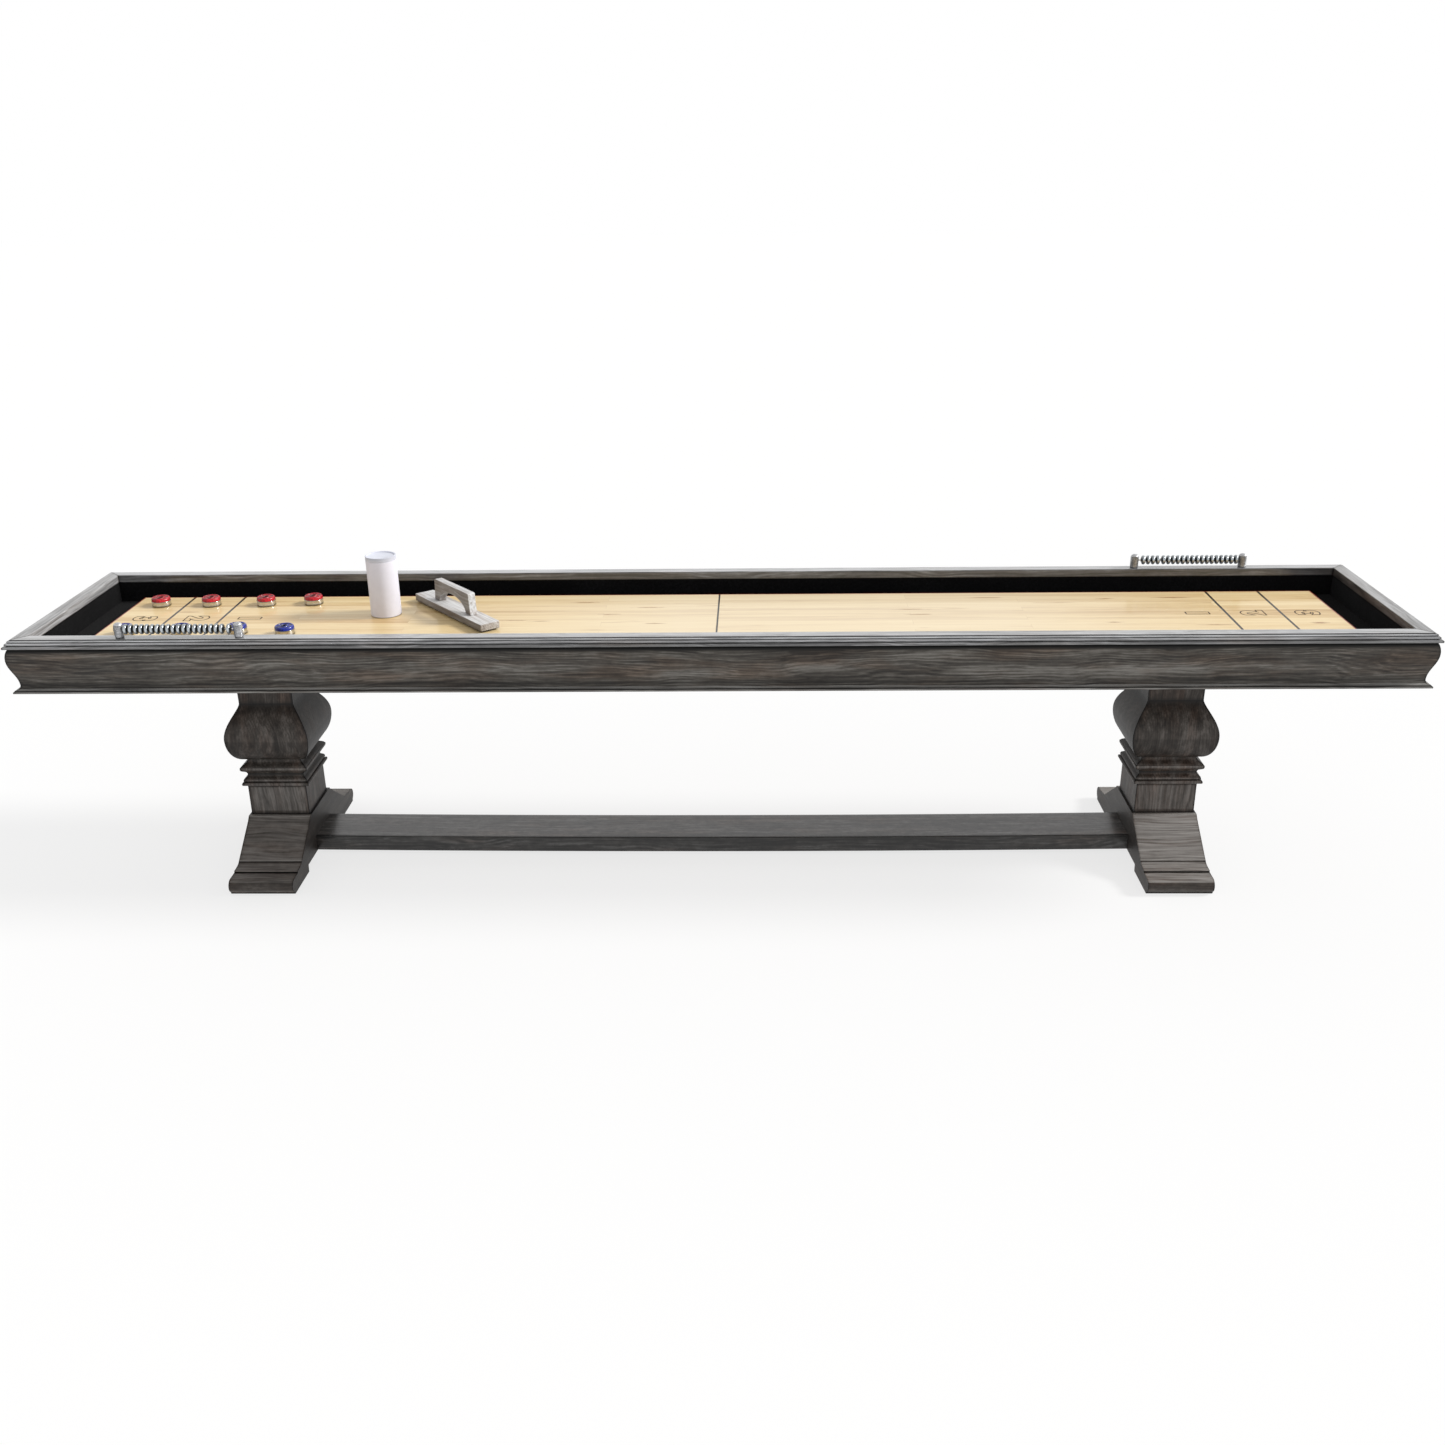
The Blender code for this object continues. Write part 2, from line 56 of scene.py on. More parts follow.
BOARD_LOW, BOARD_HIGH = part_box("playfield")
BOARD_X = (BOARD_LOW.x + BOARD_HIGH.x) / 2
POST_LOW, POST_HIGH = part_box("pedestal_post_right")
BASE_LOW, BASE_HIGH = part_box("pedestal_base_right")
FOOT_LOW, FOOT_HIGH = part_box("pedestal_foot_right")
STRETCHER_LOW, STRETCHER_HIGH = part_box("stretcher")
PEDESTAL_X = (POST_LOW.x + POST_HIGH.x) / 2

MITRE_GAP = 0.0002
SHADE_AND_GLAZE = -1.0                    # darkest tone: painted shade in recesses, under overhangs and along contact lines, together with dark glaze in the grooves; 1.0 is a painted highlight
SMOOTH_ANGLE = math.radians(32)


# ---- meshes

def arc(centre, radii, start, end, steps, tone=0.0):
    """Points along an elliptical arc, angles in degrees, each with a tone."""
    points = []
    for i in range(steps + 1):
        angle = math.radians(start + (end - start) * i / steps)
        points.append((centre[0] + radii[0] * math.cos(angle),
                       centre[1] + radii[1] * math.sin(angle), tone))
    return points


def ease(start, end, steps, lead=1.0):
    """Points of a smooth S-curve between two points, without the first one.

    With a lead below 1, the curve turns outward sooner.
    """
    points = []
    for i in range(1, steps + 1):
        t = i / steps
        blend = (1 - math.cos(math.pi * t ** lead)) / 2
        points.append((start[0] + (end[0] - start[0]) * blend,
                       start[1] + (end[1] - start[1]) * t, 0.0))
    return points


def nearness(distance, reach):
    """1 at no distance, falling to 0 at the reach and beyond."""
    return max(0.0, 1 - distance / reach)


def stations(half, edges):
    """Places from -half to half, crowded near both ends by (offset, tone) pairs."""
    return ([(-half + offset, tone) for offset, tone in edges]
            + [(half - offset, tone) for offset, tone in reversed(edges)])


def skin(rings, closed=True, caps=True):
    """A mesh from rings of (position, tone), with a tone attribute on its vertices."""
    bm = bmesh.new()
    tone = bm.verts.layers.float.new("tone")
    rows = []
    for ring in rings:
        row = []
        for position, value in ring:
            vert = bm.verts.new(position)
            vert[tone] = value
            row.append(vert)
        rows.append(row)
    count = len(rows[0])
    for low, high in zip(rows, rows[1:]):
        for i in range(count if closed else count - 1):
            j = (i + 1) % count
            bm.faces.new((low[i], low[j], high[j], high[i]))
    if caps:
        bm.faces.new(list(reversed(rows[0])))
        bm.faces.new(rows[-1])
    return bm


def new_object(name, data):
    made = bpy.data.objects.new(name, data)
    bpy.context.scene.collection.objects.link(made)
    return made


def finish_mesh(bm, name, body, material, replaces=(), place=None, edge=0.0,
                segments=2):
    """Turns a bmesh into a piece of the object that rides on a body."""
    bmesh.ops.recalc_face_normals(bm, faces=bm.faces)
    mesh = bpy.data.meshes.new(name)
    bm.to_mesh(mesh)
    bm.free()
    mesh.shade_smooth()
    mesh.set_sharp_from_angle(angle=SMOOTH_ANGLE)
    mesh.materials.append(MATERIAL[material])
    piece = new_object(name, mesh)
    if place is not None:
        piece.matrix_world = place
    if edge:
        round_edges(piece, edge, segments)
    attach(piece, body)
    if replaces:
        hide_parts(*replaces)
    return piece


def round_edges(piece, width, segments=2):
    modifier = piece.modifiers.new("edges", "BEVEL")
    modifier.width = width
    modifier.segments = segments
    modifier.limit_method = "ANGLE"
    modifier.angle_limit = SMOOTH_ANGLE
    modifier.harden_normals = True


def turned(profile, steps=48, axis="Z"):
    """A turned mesh from (radius, height, tone) points; a zero radius closes it."""
    bm = bmesh.new()
    tone = bm.verts.layers.float.new("tone")
    rows = []
    for radius, height, value in profile:
        if radius == 0:
            row = [bm.verts.new((0, 0, height))]
        else:
            row = []
            for i in range(steps):
                angle = 2 * math.pi * i / steps
                row.append(bm.verts.new((radius * math.cos(angle), radius * math.sin(angle),
                                         height)))
        for vert in row:
            vert[tone] = value
        rows.append(row)
    if profile[0][0] and profile[-1][0]:
        rows.append(rows[0])
    for first, second in zip(rows, rows[1:]):
        for i in range(steps):
            j = (i + 1) % steps
            ring = [first[i % len(first)], first[j % len(first)],
                    second[j % len(second)], second[i % len(second)]]
            bm.faces.new(list(dict.fromkeys(ring)))
    if axis == "X":
        bmesh.ops.rotate(bm, verts=bm.verts, matrix=Matrix.Rotation(math.pi / 2, 3, "Y"))
    return bm


# ---- materials

def linear(screen):
    """The linear colour and alpha of a screen colour in 0..255; all colours here are such."""
    made = []
    for value in screen:
        value /= 255
        made.append(value / 12.92 if value <= 0.04045 else ((value + 0.055) / 1.055) ** 2.4)
    return (*made, 1.0)


class Graph:
    """A material under construction: adds shader nodes and links them."""

    def __init__(self, name):
        self.material = bpy.data.materials.new(name)
        self.material.use_nodes = True
        self.tree = self.material.node_tree
        self.shader = self.tree.nodes["Principled BSDF"]

    def node(self, kind, inputs=(), **settings):
        made = self.tree.nodes.new(f"ShaderNode{kind}")
        for key, value in settings.items():
            setattr(made, key, value)
        for key, value in dict(inputs).items():
            self.feed(made.inputs[key], value)
        return made

    def feed(self, socket, value):
        if isinstance(value, bpy.types.NodeSocket):
            self.tree.links.new(value, socket)
        else:
            socket.default_value = value

    def math(self, operation, *values, clamp=False):
        made = self.node("Math", dict(enumerate(values)), operation=operation, use_clamp=clamp)
        return made.outputs[0]

    def mix(self, factor, first, second, blend="MIX"):
        first, second = (linear(part) if isinstance(part, tuple) else part
                         for part in (first, second))
        made = self.node("Mix", {0: factor, 6: first, 7: second}, data_type="RGBA",
                         blend_type=blend)
        return made.outputs[2]

    def scaled(self, vector, factors, offset=(0.0, 0.0, 0.0)):
        made = self.node("VectorMath", {0: vector, 1: factors, 2: offset},
                         operation="MULTIPLY_ADD")
        return made.outputs[0]

    def add(self, first, second):
        return self.node("VectorMath", {0: first, 1: second}, operation="ADD").outputs[0]

    def length(self, vector):
        return self.node("VectorMath", {0: vector}, operation="LENGTH").outputs["Value"]

    def split(self, vector):
        return self.node("SeparateXYZ", {0: vector}).outputs

    def noise(self, vector, factors, detail=3, roughness=0.55, offset=(0.0, 0.0, 0.0)):
        """Noise from 0 to 1, with so many waves in a metre along each axis."""
        made = self.node("TexNoise", {"Vector": self.scaled(vector, factors, offset),
                                      "Scale": 1.0, "Detail": detail,
                                      "Roughness": roughness})
        return made.outputs["Fac"]

    def ramp(self, factor, stops):
        made = self.node("ValToRGB", {0: factor})
        elements = made.color_ramp.elements
        while len(elements) < len(stops):
            elements.new(0.5)
        for element, (position, screen) in zip(elements, stops):
            element.position = position
            element.color = linear(screen)
        return made.outputs[0]

    def span(self, value, start, end, low=0.0, high=1.0):
        """Maps start..end to low..high, and holds those two values outside it."""
        made = self.node("MapRange", {0: value, 1: start, 2: end, 3: low, 4: high})
        return made.outputs[0]

    def weighted(self, total, *parts):
        """Adds (0..1 value, weight) pairs to a total, each value moved to run about zero."""
        for part, weight in parts:
            total = self.math("MULTIPLY_ADD", self.centred(part), weight, total)
        return total

    def centred(self, value):
        return self.math("SUBTRACT", value, 0.5)

    def coordinates(self):
        return self.node("TexCoord").outputs["Object"]

    def grain_coordinates(self, axis):
        """Object coordinates, reordered so that the first one runs along the grain.

        With the axis "XY", the grain runs along Y on faces that look along X, and along X
        on the others.
        """
        if axis == "XY":
            sideways = self.math("ABSOLUTE", self.normal()[0])
            end_face = self.math("GREATER_THAN", sideways, 0.7)
            made = self.node("Mix", {0: end_face, 4: self.grain_coordinates("X"),
                                     5: self.grain_coordinates("Y")}, data_type="VECTOR")
            return made.outputs[1]
        parts = self.split(self.coordinates())
        order = {"X": (0, 1, 2), "Y": (1, 0, 2), "Z": (2, 0, 1)}[axis]
        made = self.node("CombineXYZ", {i: parts[part] for i, part in enumerate(order)})
        return made.outputs[0]

    def normal(self):
        """The three parts of the direction that the face looks in."""
        return self.split(self.node("NewGeometry").outputs["Normal"])

    def tone(self):
        return self.node("Attribute", attribute_name="tone").outputs["Fac"]

    def bump(self, height, strength, distance):
        made = self.node("Bump", {"Height": height, "Strength": strength,
                                  "Distance": distance})
        self.feed(self.shader.inputs["Normal"], made.outputs[0])

    def set(self, **values):
        for key, value in values.items():
            self.feed(self.shader.inputs[key.replace("_", " ")], value)


RING_PITCH = 0.0068             # from one growth ring to the next
PITH = (0, 0.05, -0.62)         # where the rings are centred, across the grain
SWAY = 0.050                    # how far the grain wanders
HIGHLIGHT_STREAKS = (0.22, 0.68)              # streaks that the painted highlight leaves out, and those it lightens fully


def stained_wood(name, axis, shades, warm, shade_and_glaze, highlight, seed, figure=1.0, mottle=0.3,
                 gloss=(0.34, 0.5), coat=0.0, specular=0.5):
    """Open-grained wood under a grey stain: bent grain, streaks, blotches, pores and dark glaze,
    with painted light and shade carried by the tone attribute.

    shades are the stain's dark, middle and light colours and warm is its brown tint.
    shade_and_glaze is the colour of the lowest tone: painted shade, together with dark glaze in
    the grooves. highlight is the colour of the highest tone: a painted highlight.
    """
    g = Graph(name)
    base = g.scaled(g.grain_coordinates(axis), (1, 1, 1), (seed * 1.7, seed * 0.31, seed * 0.23))
    sway = g.math("MULTIPLY", g.centred(g.noise(base, (2.6, 7, 7), 2)), SWAY)
    bent = g.add(base, g.node("CombineXYZ", {1: sway, 2: sway}).outputs[0])
    across = g.length(g.scaled(bent, (0, 1, 1), PITH))
    rings = g.math("SINE", g.math("MULTIPLY", across, 2 * math.pi / RING_PITCH))
    streak = g.noise(bent, (5.5, 170, 170))
    broad = g.noise(bent, (2.0, 30, 30), offset=(3, 1, 2))
    fibre = g.noise(bent, (14, 480, 480), 3, 0.6)
    blotch = g.noise(base, (38, 55, 55), 3, 0.6, (1, 5, 3))
    pores = g.noise(base, (34, 800, 800), 2, 0.5)
    tone = g.tone()
    value = g.math("MULTIPLY_ADD", rings, 0.07 * figure, 0.5)
    value = g.weighted(value, (streak, 0.95 * figure), (broad, 1.1), (fibre, 0.5 * figure),
                       (blotch, mottle))
    # the tone moves the stain lighter or darker: painted light and shade
    value = g.math("MULTIPLY_ADD", tone, 0.14, value)
    dark, middle, light = shades
    stain = g.ramp(value, [(0.2, dark), (0.5, middle), (0.82, light)])
    brown = g.span(g.noise(base, (4, 20, 20), offset=(7, 3, 5)), 0.46, 0.66)
    stain = g.mix(brown, stain, warm, "MULTIPLY")
    stain = g.mix(g.span(pores, 0.36, 0.44, 0.4, 0.0), stain, dark)
    # painted shade, together with dark glaze, where the tone is below zero
    stain = g.mix(g.math("MULTIPLY", tone, -0.95, clamp=True), stain, shade_and_glaze)
    # painted highlight where the tone is above zero, strongest on some streaks
    highlight_mask = g.math("MULTIPLY", g.math("MULTIPLY", tone, 0.9, clamp=True), g.span(streak, *HIGHLIGHT_STREAKS))
    g.set(Base_Color=g.mix(highlight_mask, stain, highlight), Roughness=g.span(streak, 0, 1, *gloss),
          IOR=1.5, Coat_Weight=coat, Coat_Roughness=0.22, Specular_IOR_Level=specular)
    height = g.math("MULTIPLY_ADD", pores, 0.4, fibre)
    g.bump(g.math("MULTIPLY_ADD", rings, 0.12, height), 0.35, 0.0006)
    return g.material


# The stain on the cap, on the aprons, on the legs, on the stretcher and on the brush
CAP_STAIN = dict(shades=((64, 64, 65), (103, 103, 104), (150, 151, 153)),
                 warm=(242, 232, 224), shade_and_glaze=(16, 15, 15), highlight=(196, 198, 201),
                 gloss=(0.26, 0.4), coat=1.0)
END_STAIN = dict(CAP_STAIN, shades=((58, 56, 55), (94, 91, 89), (132, 130, 128)),
                 coat=0.3, specular=0.4)
APRON_STAIN = dict(shades=((40, 37, 34), (76, 72, 67), (116, 113, 108)),
                   warm=(240, 222, 210), shade_and_glaze=(5, 5, 4),
                   highlight=(158, 158, 157), figure=1.0, specular=0.25)
LEG_STAIN = dict(shades=((35, 31, 28), (62, 57, 53), (94, 89, 85)),
                 warm=(240, 218, 206), shade_and_glaze=(5, 4, 4), highlight=(142, 139, 136),
                 figure=0.7, mottle=0.75, gloss=(0.42, 0.58), specular=0.25)
RAIL_STAIN = dict(LEG_STAIN, shades=((26, 25, 24), (65, 63, 61), (108, 107, 106)),
                  figure=1.3, mottle=0.8, gloss=(0.3, 0.42), coat=0.6)
BRUSH_STAIN = dict(shades=((112, 103, 98), (158, 152, 148), (204, 205, 206)),
                   warm=(240, 226, 214), shade_and_glaze=(40, 32, 28),
                   highlight=(226, 229, 231), figure=0.8)


# Lines painted or stained on the board, in metres along it
SCORE_LINES = (1.557, 1.407)    # from the board's middle
LINE_HALF_WIDTH = 0.0035
LINE_INK = (26, 16, 4)
SEAM_X = 0.0035                 # the joint between the board's halves
SEAM_HALF_WIDTH = 0.0024
SEAM_INK = (52, 48, 42)
RIM_WIDTH = 0.0045              # stained band round the board's edge
RIM_STAIN = (136, 52, 36)
REFLECTION_X = 0.35                   # middle of a painted reflection that makes the board paler across its middle
REFLECTION_REACH = (0.45, 1.05)       # where the painted reflection starts to fade, and where it ends
REFLECTION_TINT = (236, 224, 200)
STREAK_BROWN = (150, 104, 58)
STREAKS = (                     # (x, y, half length, half width)
    (1.30, 0.156, 0.075, 0.007), (1.09, -0.066, 0.030, 0.005), (1.36, -0.092, 0.070, 0.005),
    (1.64, -0.080, 0.030, 0.009), (-0.38, 0.140, 0.050, 0.005), (-0.49, -0.030, 0.040, 0.004),
    (-0.17, -0.056, 0.035, 0.005), (0.55, 0.060, 0.060, 0.004), (-1.52, 0.070, 0.050, 0.005),
    (0.567, 0.013, 0.045, 0.005), (1.11, 0.148, 0.030, 0.006), (-0.57, -0.023, 0.060, 0.004),
    (-0.306, 0.028, 0.040, 0.005), (-0.193, 0.089, 0.055, 0.004),
)


def maple_board(name):
    """Pale maple strips under a gloss coat, with painted score lines, stained edges and a painted
    reflection across its middle.
    """
    g = Graph(name)
    source = g.coordinates()
    parts = g.split(source)
    strips = g.node("TexBrick", {"Vector": source, "Color1": (0, 0, 0, 1), "Color2": (1, 1, 1, 1),
                                 "Mortar": (0.5, 0.5, 0.5, 1), "Scale": 1.0,
                                 "Mortar Size": 0.00035, "Mortar Smooth": 0.3,
                                 "Brick Width": 0.86, "Row Height": 0.039}, offset=0.37)
    strip, joint = strips.outputs["Color"], strips.outputs["Fac"]
    own = g.math("MULTIPLY", strip, 13.0)       # each strip is cut from its own place
    base = g.add(source, g.node("CombineXYZ", {0: own, 1: own, 2: own}).outputs[0])
    figure = g.noise(base, (1.5, 42, 30), 4, 0.6)
    streak = g.noise(base, (3.5, 170, 60), 3, 0.6)
    flecks = g.noise(base, (22, 300, 60), 2, 0.5)
    mineral = g.noise(base, (5.0, 60, 20), 2, 0.5, (3, 1, 8))
    value = g.weighted(0.5, (figure, 1.1), (streak, 0.55), (flecks, 0.25), (strip, 0.30))
    wood = g.ramp(value, [(0.15, (188, 152, 98)), (0.45, (220, 193, 142)),
                          (0.75, (231, 209, 163)), (0.95, (237, 219, 178))])
    # painted reflection: the board paler towards its middle
    from_reflection = g.math("ABSOLUTE", g.math("SUBTRACT", parts[0], REFLECTION_X))
    wood = g.mix(g.span(from_reflection, *REFLECTION_REACH, 0.5, 0.0), wood, REFLECTION_TINT)
    wood = g.mix(board_streaks(g, source, mineral), wood, STREAK_BROWN)
    wood = g.mix(g.math("MULTIPLY", joint, 0.35), wood, (140, 100, 60))
    along = g.math("ABSOLUTE", g.math("SUBTRACT", parts[0], BOARD_X))
    for place in SCORE_LINES:
        wood = g.mix(g.math("COMPARE", along, place, LINE_HALF_WIDTH), wood, LINE_INK)
    wood = g.mix(g.math("COMPARE", parts[0], SEAM_X, SEAM_HALF_WIDTH), wood, SEAM_INK)
    end_rim = g.math("GREATER_THAN", along, BOARD_HIGH.x - BOARD_X - RIM_WIDTH)
    side_rim = g.math("GREATER_THAN", g.math("ABSOLUTE", parts[1]), BOARD_HIGH.y - RIM_WIDTH)
    wood = g.mix(g.math("MAXIMUM", end_rim, side_rim), wood, RIM_STAIN)
    g.set(Base_Color=wood, Roughness=g.span(streak, 0, 1, 0.30, 0.40), IOR=1.5,
          Coat_Weight=0.30, Coat_Roughness=0.10, Coat_IOR=1.45, Specular_IOR_Level=0.30)
    g.bump(figure, 0.03, 0.0004)
    return g.material


def board_streaks(g, source, mineral):
    """How brown the board is: faint everywhere, and stronger at a few ragged streaks."""
    stained = g.span(mineral, 0.68, 0.80, 0.0, 0.6)
    ragged = g.noise(source, (60, 300, 30), 3, 0.6)
    for x, y, half_length, half_width in STREAKS:
        away = g.length(g.scaled(source, (1 / half_length, 1 / half_width, 0),
                                 (-x / half_length, -y / half_width, 0)))
        spot = g.span(g.weighted(away, (ragged, 1.4)), 0.25, 1.0, 0.85, 0.0)
        stained = g.math("MAXIMUM", stained, spot)
    return stained


def carpet(name):
    """Black short-pile carpet above, and the bare sheet material it is glued to below."""
    g = Graph(name)
    source = g.coordinates()
    pile = g.noise(source, (900, 900, 900), 3, 0.7)
    tufts = g.noise(source, (140, 140, 140), 3, 0.6)
    lay = g.noise(source, (6, 6, 6))
    value = g.weighted(pile, (tufts, 0.8), (lay, 0.5))
    cloth = g.ramp(value, [(0.3, (5, 5, 6)), (0.55, (11, 11, 12)),
                           (0.8, (24, 24, 26))])
    below = g.math("LESS_THAN", g.normal()[2], -0.5)
    fibre = g.noise(source, (60, 700, 700), 3, 0.6)
    sheet = g.ramp(fibre, [(0.3, (96, 74, 52)), (0.7, (142, 114, 84))])
    g.set(Base_Color=g.mix(below, cloth, sheet), Roughness=0.97, Sheen_Weight=0.03,
          Sheen_Roughness=0.6, Specular_IOR_Level=0.05)
    g.bump(g.math("ADD", pile, tufts), 0.7, 0.0012)
    return g.material


SHADE_GREY = 80                  # screen value of a linear 0.08; the painted shade darkens by this much


def plain_finish(name, low, high, scale, rough, metallic=0.0, bump=0.1, depth=0.0002, coat=0.0):
    """Paint, plastic, card or metal: two close colours mottled at a given scale, lighter where
    the tone attribute holds a painted highlight and darker where it holds painted shade.
    """
    g = Graph(name)
    source = g.coordinates()
    coarse = g.noise(source, (scale / 9,) * 3)
    fine = g.noise(source, (scale,) * 3, 4, 0.65)
    tone = g.tone()
    # the tone attribute carries painted light and shade: above zero it lightens, below zero it
    # darkens
    value = g.math("MULTIPLY_ADD", tone, 0.5, g.weighted(fine, (coarse, 0.9)))
    painted_shade = g.math("MULTIPLY", tone, -0.9, clamp=True)
    dark = g.mix(1.0, low, (SHADE_GREY,) * 3, "MULTIPLY")
    g.set(Base_Color=g.mix(painted_shade, g.ramp(value, [(0.3, low), (0.7, high)]), dark),
          Roughness=g.span(fine, 0, 1, *rough), Metallic=metallic, Coat_Weight=coat,
          Coat_Roughness=0.08)
    g.bump(fine, bump, depth)
    return g.material


FINISHES = {                    # name: (dark colour, light colour, scale, roughness, the rest)
    "ink": ((34, 20, 8), (52, 34, 16), 900, (0.7, 0.8), {}),
    "steel": ((150, 150, 152), (205, 205, 208), 300, (0.28, 0.45),
              dict(metallic=1.0)),
    "chrome": ((205, 203, 198), (232, 230, 225), 700, (0.06, 0.16),
               dict(metallic=1.0, bump=0.03)),
    "puck_metal": ((176, 174, 170), (214, 212, 208), 700, (0.08, 0.2),
                   dict(metallic=1.0, bump=0.03)),
    "scorer_grey": ((120, 128, 132), (190, 196, 200), 500, (0.24, 0.36),
                    dict(metallic=0.9, coat=0.2)),
    "post_grey": ((118, 119, 121), (206, 207, 210), 380, (0.30, 0.44),
                  dict(metallic=0.6)),
    "puck_red": ((100, 0, 8), (224, 12, 42), 260, (0.34, 0.46), dict(coat=0.15)),
    "puck_blue": ((5, 8, 70), (32, 58, 184), 260, (0.3, 0.42), dict(coat=0.25)),
    "card": ((216, 215, 225), (221, 220, 230), 60, (0.38, 0.5), dict(bump=0.03)),
    "lid_plastic": ((206, 209, 221), (212, 215, 227), 60, (0.25, 0.4),
                    dict(bump=0.03)),
    "bristle": ((24, 21, 18), (62, 54, 46), 500, (0.6, 0.9),
                dict(bump=0.3, depth=0.0004)),
}


def make_materials():
    made = {}
    for axis, seed, stain in (("X", 1.0, CAP_STAIN), ("Y", 2.0, END_STAIN)):
        made[f"cap_wood_{axis}"] = stained_wood(f"cap_wood_{axis}", axis, seed=seed, **stain)
        made[f"apron_wood_{axis}"] = stained_wood(f"apron_wood_{axis}", axis, seed=seed + 2,
                                                  **APRON_STAIN)
    for axis, seed, figure in (("X", 5.0, 0.7), ("XY", 6.0, 0.4), ("Z", 7.0, 0.7)):
        stain = dict(LEG_STAIN, figure=figure)
        made[f"leg_wood_{axis}"] = stained_wood(f"leg_wood_{axis}", axis, seed=seed, **stain)
    made["rail_wood"] = stained_wood("rail_wood", "X", seed=8.0, **RAIL_STAIN)
    made["brush_wood"] = stained_wood("brush_wood", "X", seed=9.0, **BRUSH_STAIN)
    made["maple"] = maple_board("maple")
    made["carpet"] = carpet("carpet")
    for name, (low, high, scale, rough, settings) in FINISHES.items():
        made[name] = plain_finish(name, low, high, scale, rough, **settings)
    return made


MATERIAL = make_materials()


# ---- woodwork of the cabinet

SIDES = {                       # side: (turn about Z, half length, half width, grain axis)
    "front": (0.0, HALF_LENGTH, HALF_WIDTH, "X"),
    "back": (math.pi, HALF_LENGTH, HALF_WIDTH, "X"),
    "left": (-math.pi / 2, HALF_WIDTH, HALF_LENGTH, "Y"),
    "right": (math.pi / 2, HALF_WIDTH, HALF_LENGTH, "Y"),
}
# Lines of glaze beside a mitre or a corner: (distance from it, tone)
MITRE_STATIONS = ((0.0, -1.0), (0.0014, -0.9), (0.0030, -0.25), (0.009, 0.0))


def mitred_rails(prefix, profiles, material):
    """Four moulded rails with 45 degree mitres; a dark line of glaze marks each mitre."""
    for side, (turn, half_length, half_width, axis) in SIDES.items():
        mitres = [(-1, offset, tone) for offset, tone in MITRE_STATIONS]
        mitres += [(1, offset, tone) for offset, tone in reversed(MITRE_STATIONS)]
        rings = []
        for sign, offset, mitre_tone in mitres:
            ring = []
            for inset, z, tone in profiles[side]:
                x = sign * (half_length - inset - MITRE_GAP - offset)
                ring.append(((x, inset - half_width, z), min(tone, tone + mitre_tone)))
            rings.append(ring)
        bm = skin(rings)
        bmesh.ops.rotate(bm, verts=bm.verts, matrix=Matrix.Rotation(turn, 3, "Z"))
        finish_mesh(bm, f"{prefix}_{side}_wood", "table", f"{material}_{axis}",
                    replaces=[f"{prefix}_{side}"], edge=0.0005)


# Painted light and shade on the cap's faces towards the gutter: the left one lit by the sun, the
# others in shade
INNER_LIGHT_AND_SHADE = {"front": -0.2, "back": -0.12, "left": 0.75, "right": -0.25}


def build_cap():
    """A flat, a groove, two small beads and a lip, from the inside to the outer edge, with
    painted highlights on the beads and the flat and painted shade under the lip and in the
    grooves.
    """
    underside, top = CAP_LOW.z, CAP_HIGH.z
    lip = [(0.0025, underside, SHADE_AND_GLAZE), (0.0010, underside + 0.0005, SHADE_AND_GLAZE)]
    lip += arc((0.0032, 0.7412), (0.0032, 0.0032), 210, 90, 6, -0.15)
    lip += [(0.0080, 0.7448, 0.0), (0.0098, 0.7450, SHADE_AND_GLAZE)]
    lower_bead = [(0.0096, 0.7458, SHADE_AND_GLAZE)]
    lower_bead += arc((0.0096, 0.7492), (0.0036, 0.0030), 240, 90, 6, 0.4)
    middle = [(0.0122, 0.7523, 0.7), (0.0132, 0.7526, SHADE_AND_GLAZE), (0.0136, 0.7532, SHADE_AND_GLAZE)]
    upper_bead = arc((0.0140, 0.7556), (0.0026, 0.0021), 220, 80, 5, 0.8)
    groove = [(0.0157, 0.7577, SHADE_AND_GLAZE), (0.0166, 0.7578, SHADE_AND_GLAZE), (0.0176, 0.7592, SHADE_AND_GLAZE)]
    flat = [(0.0186, top, 0.5), (0.0215, top, 0.55), (0.0490, top, 0.55), (0.0512, top, 0.6)]
    profiles = {}
    for side, tone in INNER_LIGHT_AND_SHADE.items():
        inside = arc((0.0512, top - 0.0018), (0.0018, 0.0018), 90, 0, 4, tone)[1:]
        inside += [(0.0530, top - 0.004, tone), (0.0530, underside + 0.003, tone),
                   (0.0530, underside + 0.0006, SHADE_AND_GLAZE), (0.0530, underside, SHADE_AND_GLAZE)]
        profiles[side] = lip + lower_bead + middle + upper_bead + groove + flat + inside
    mitred_rails("cap_rail", profiles, "cap_wood")


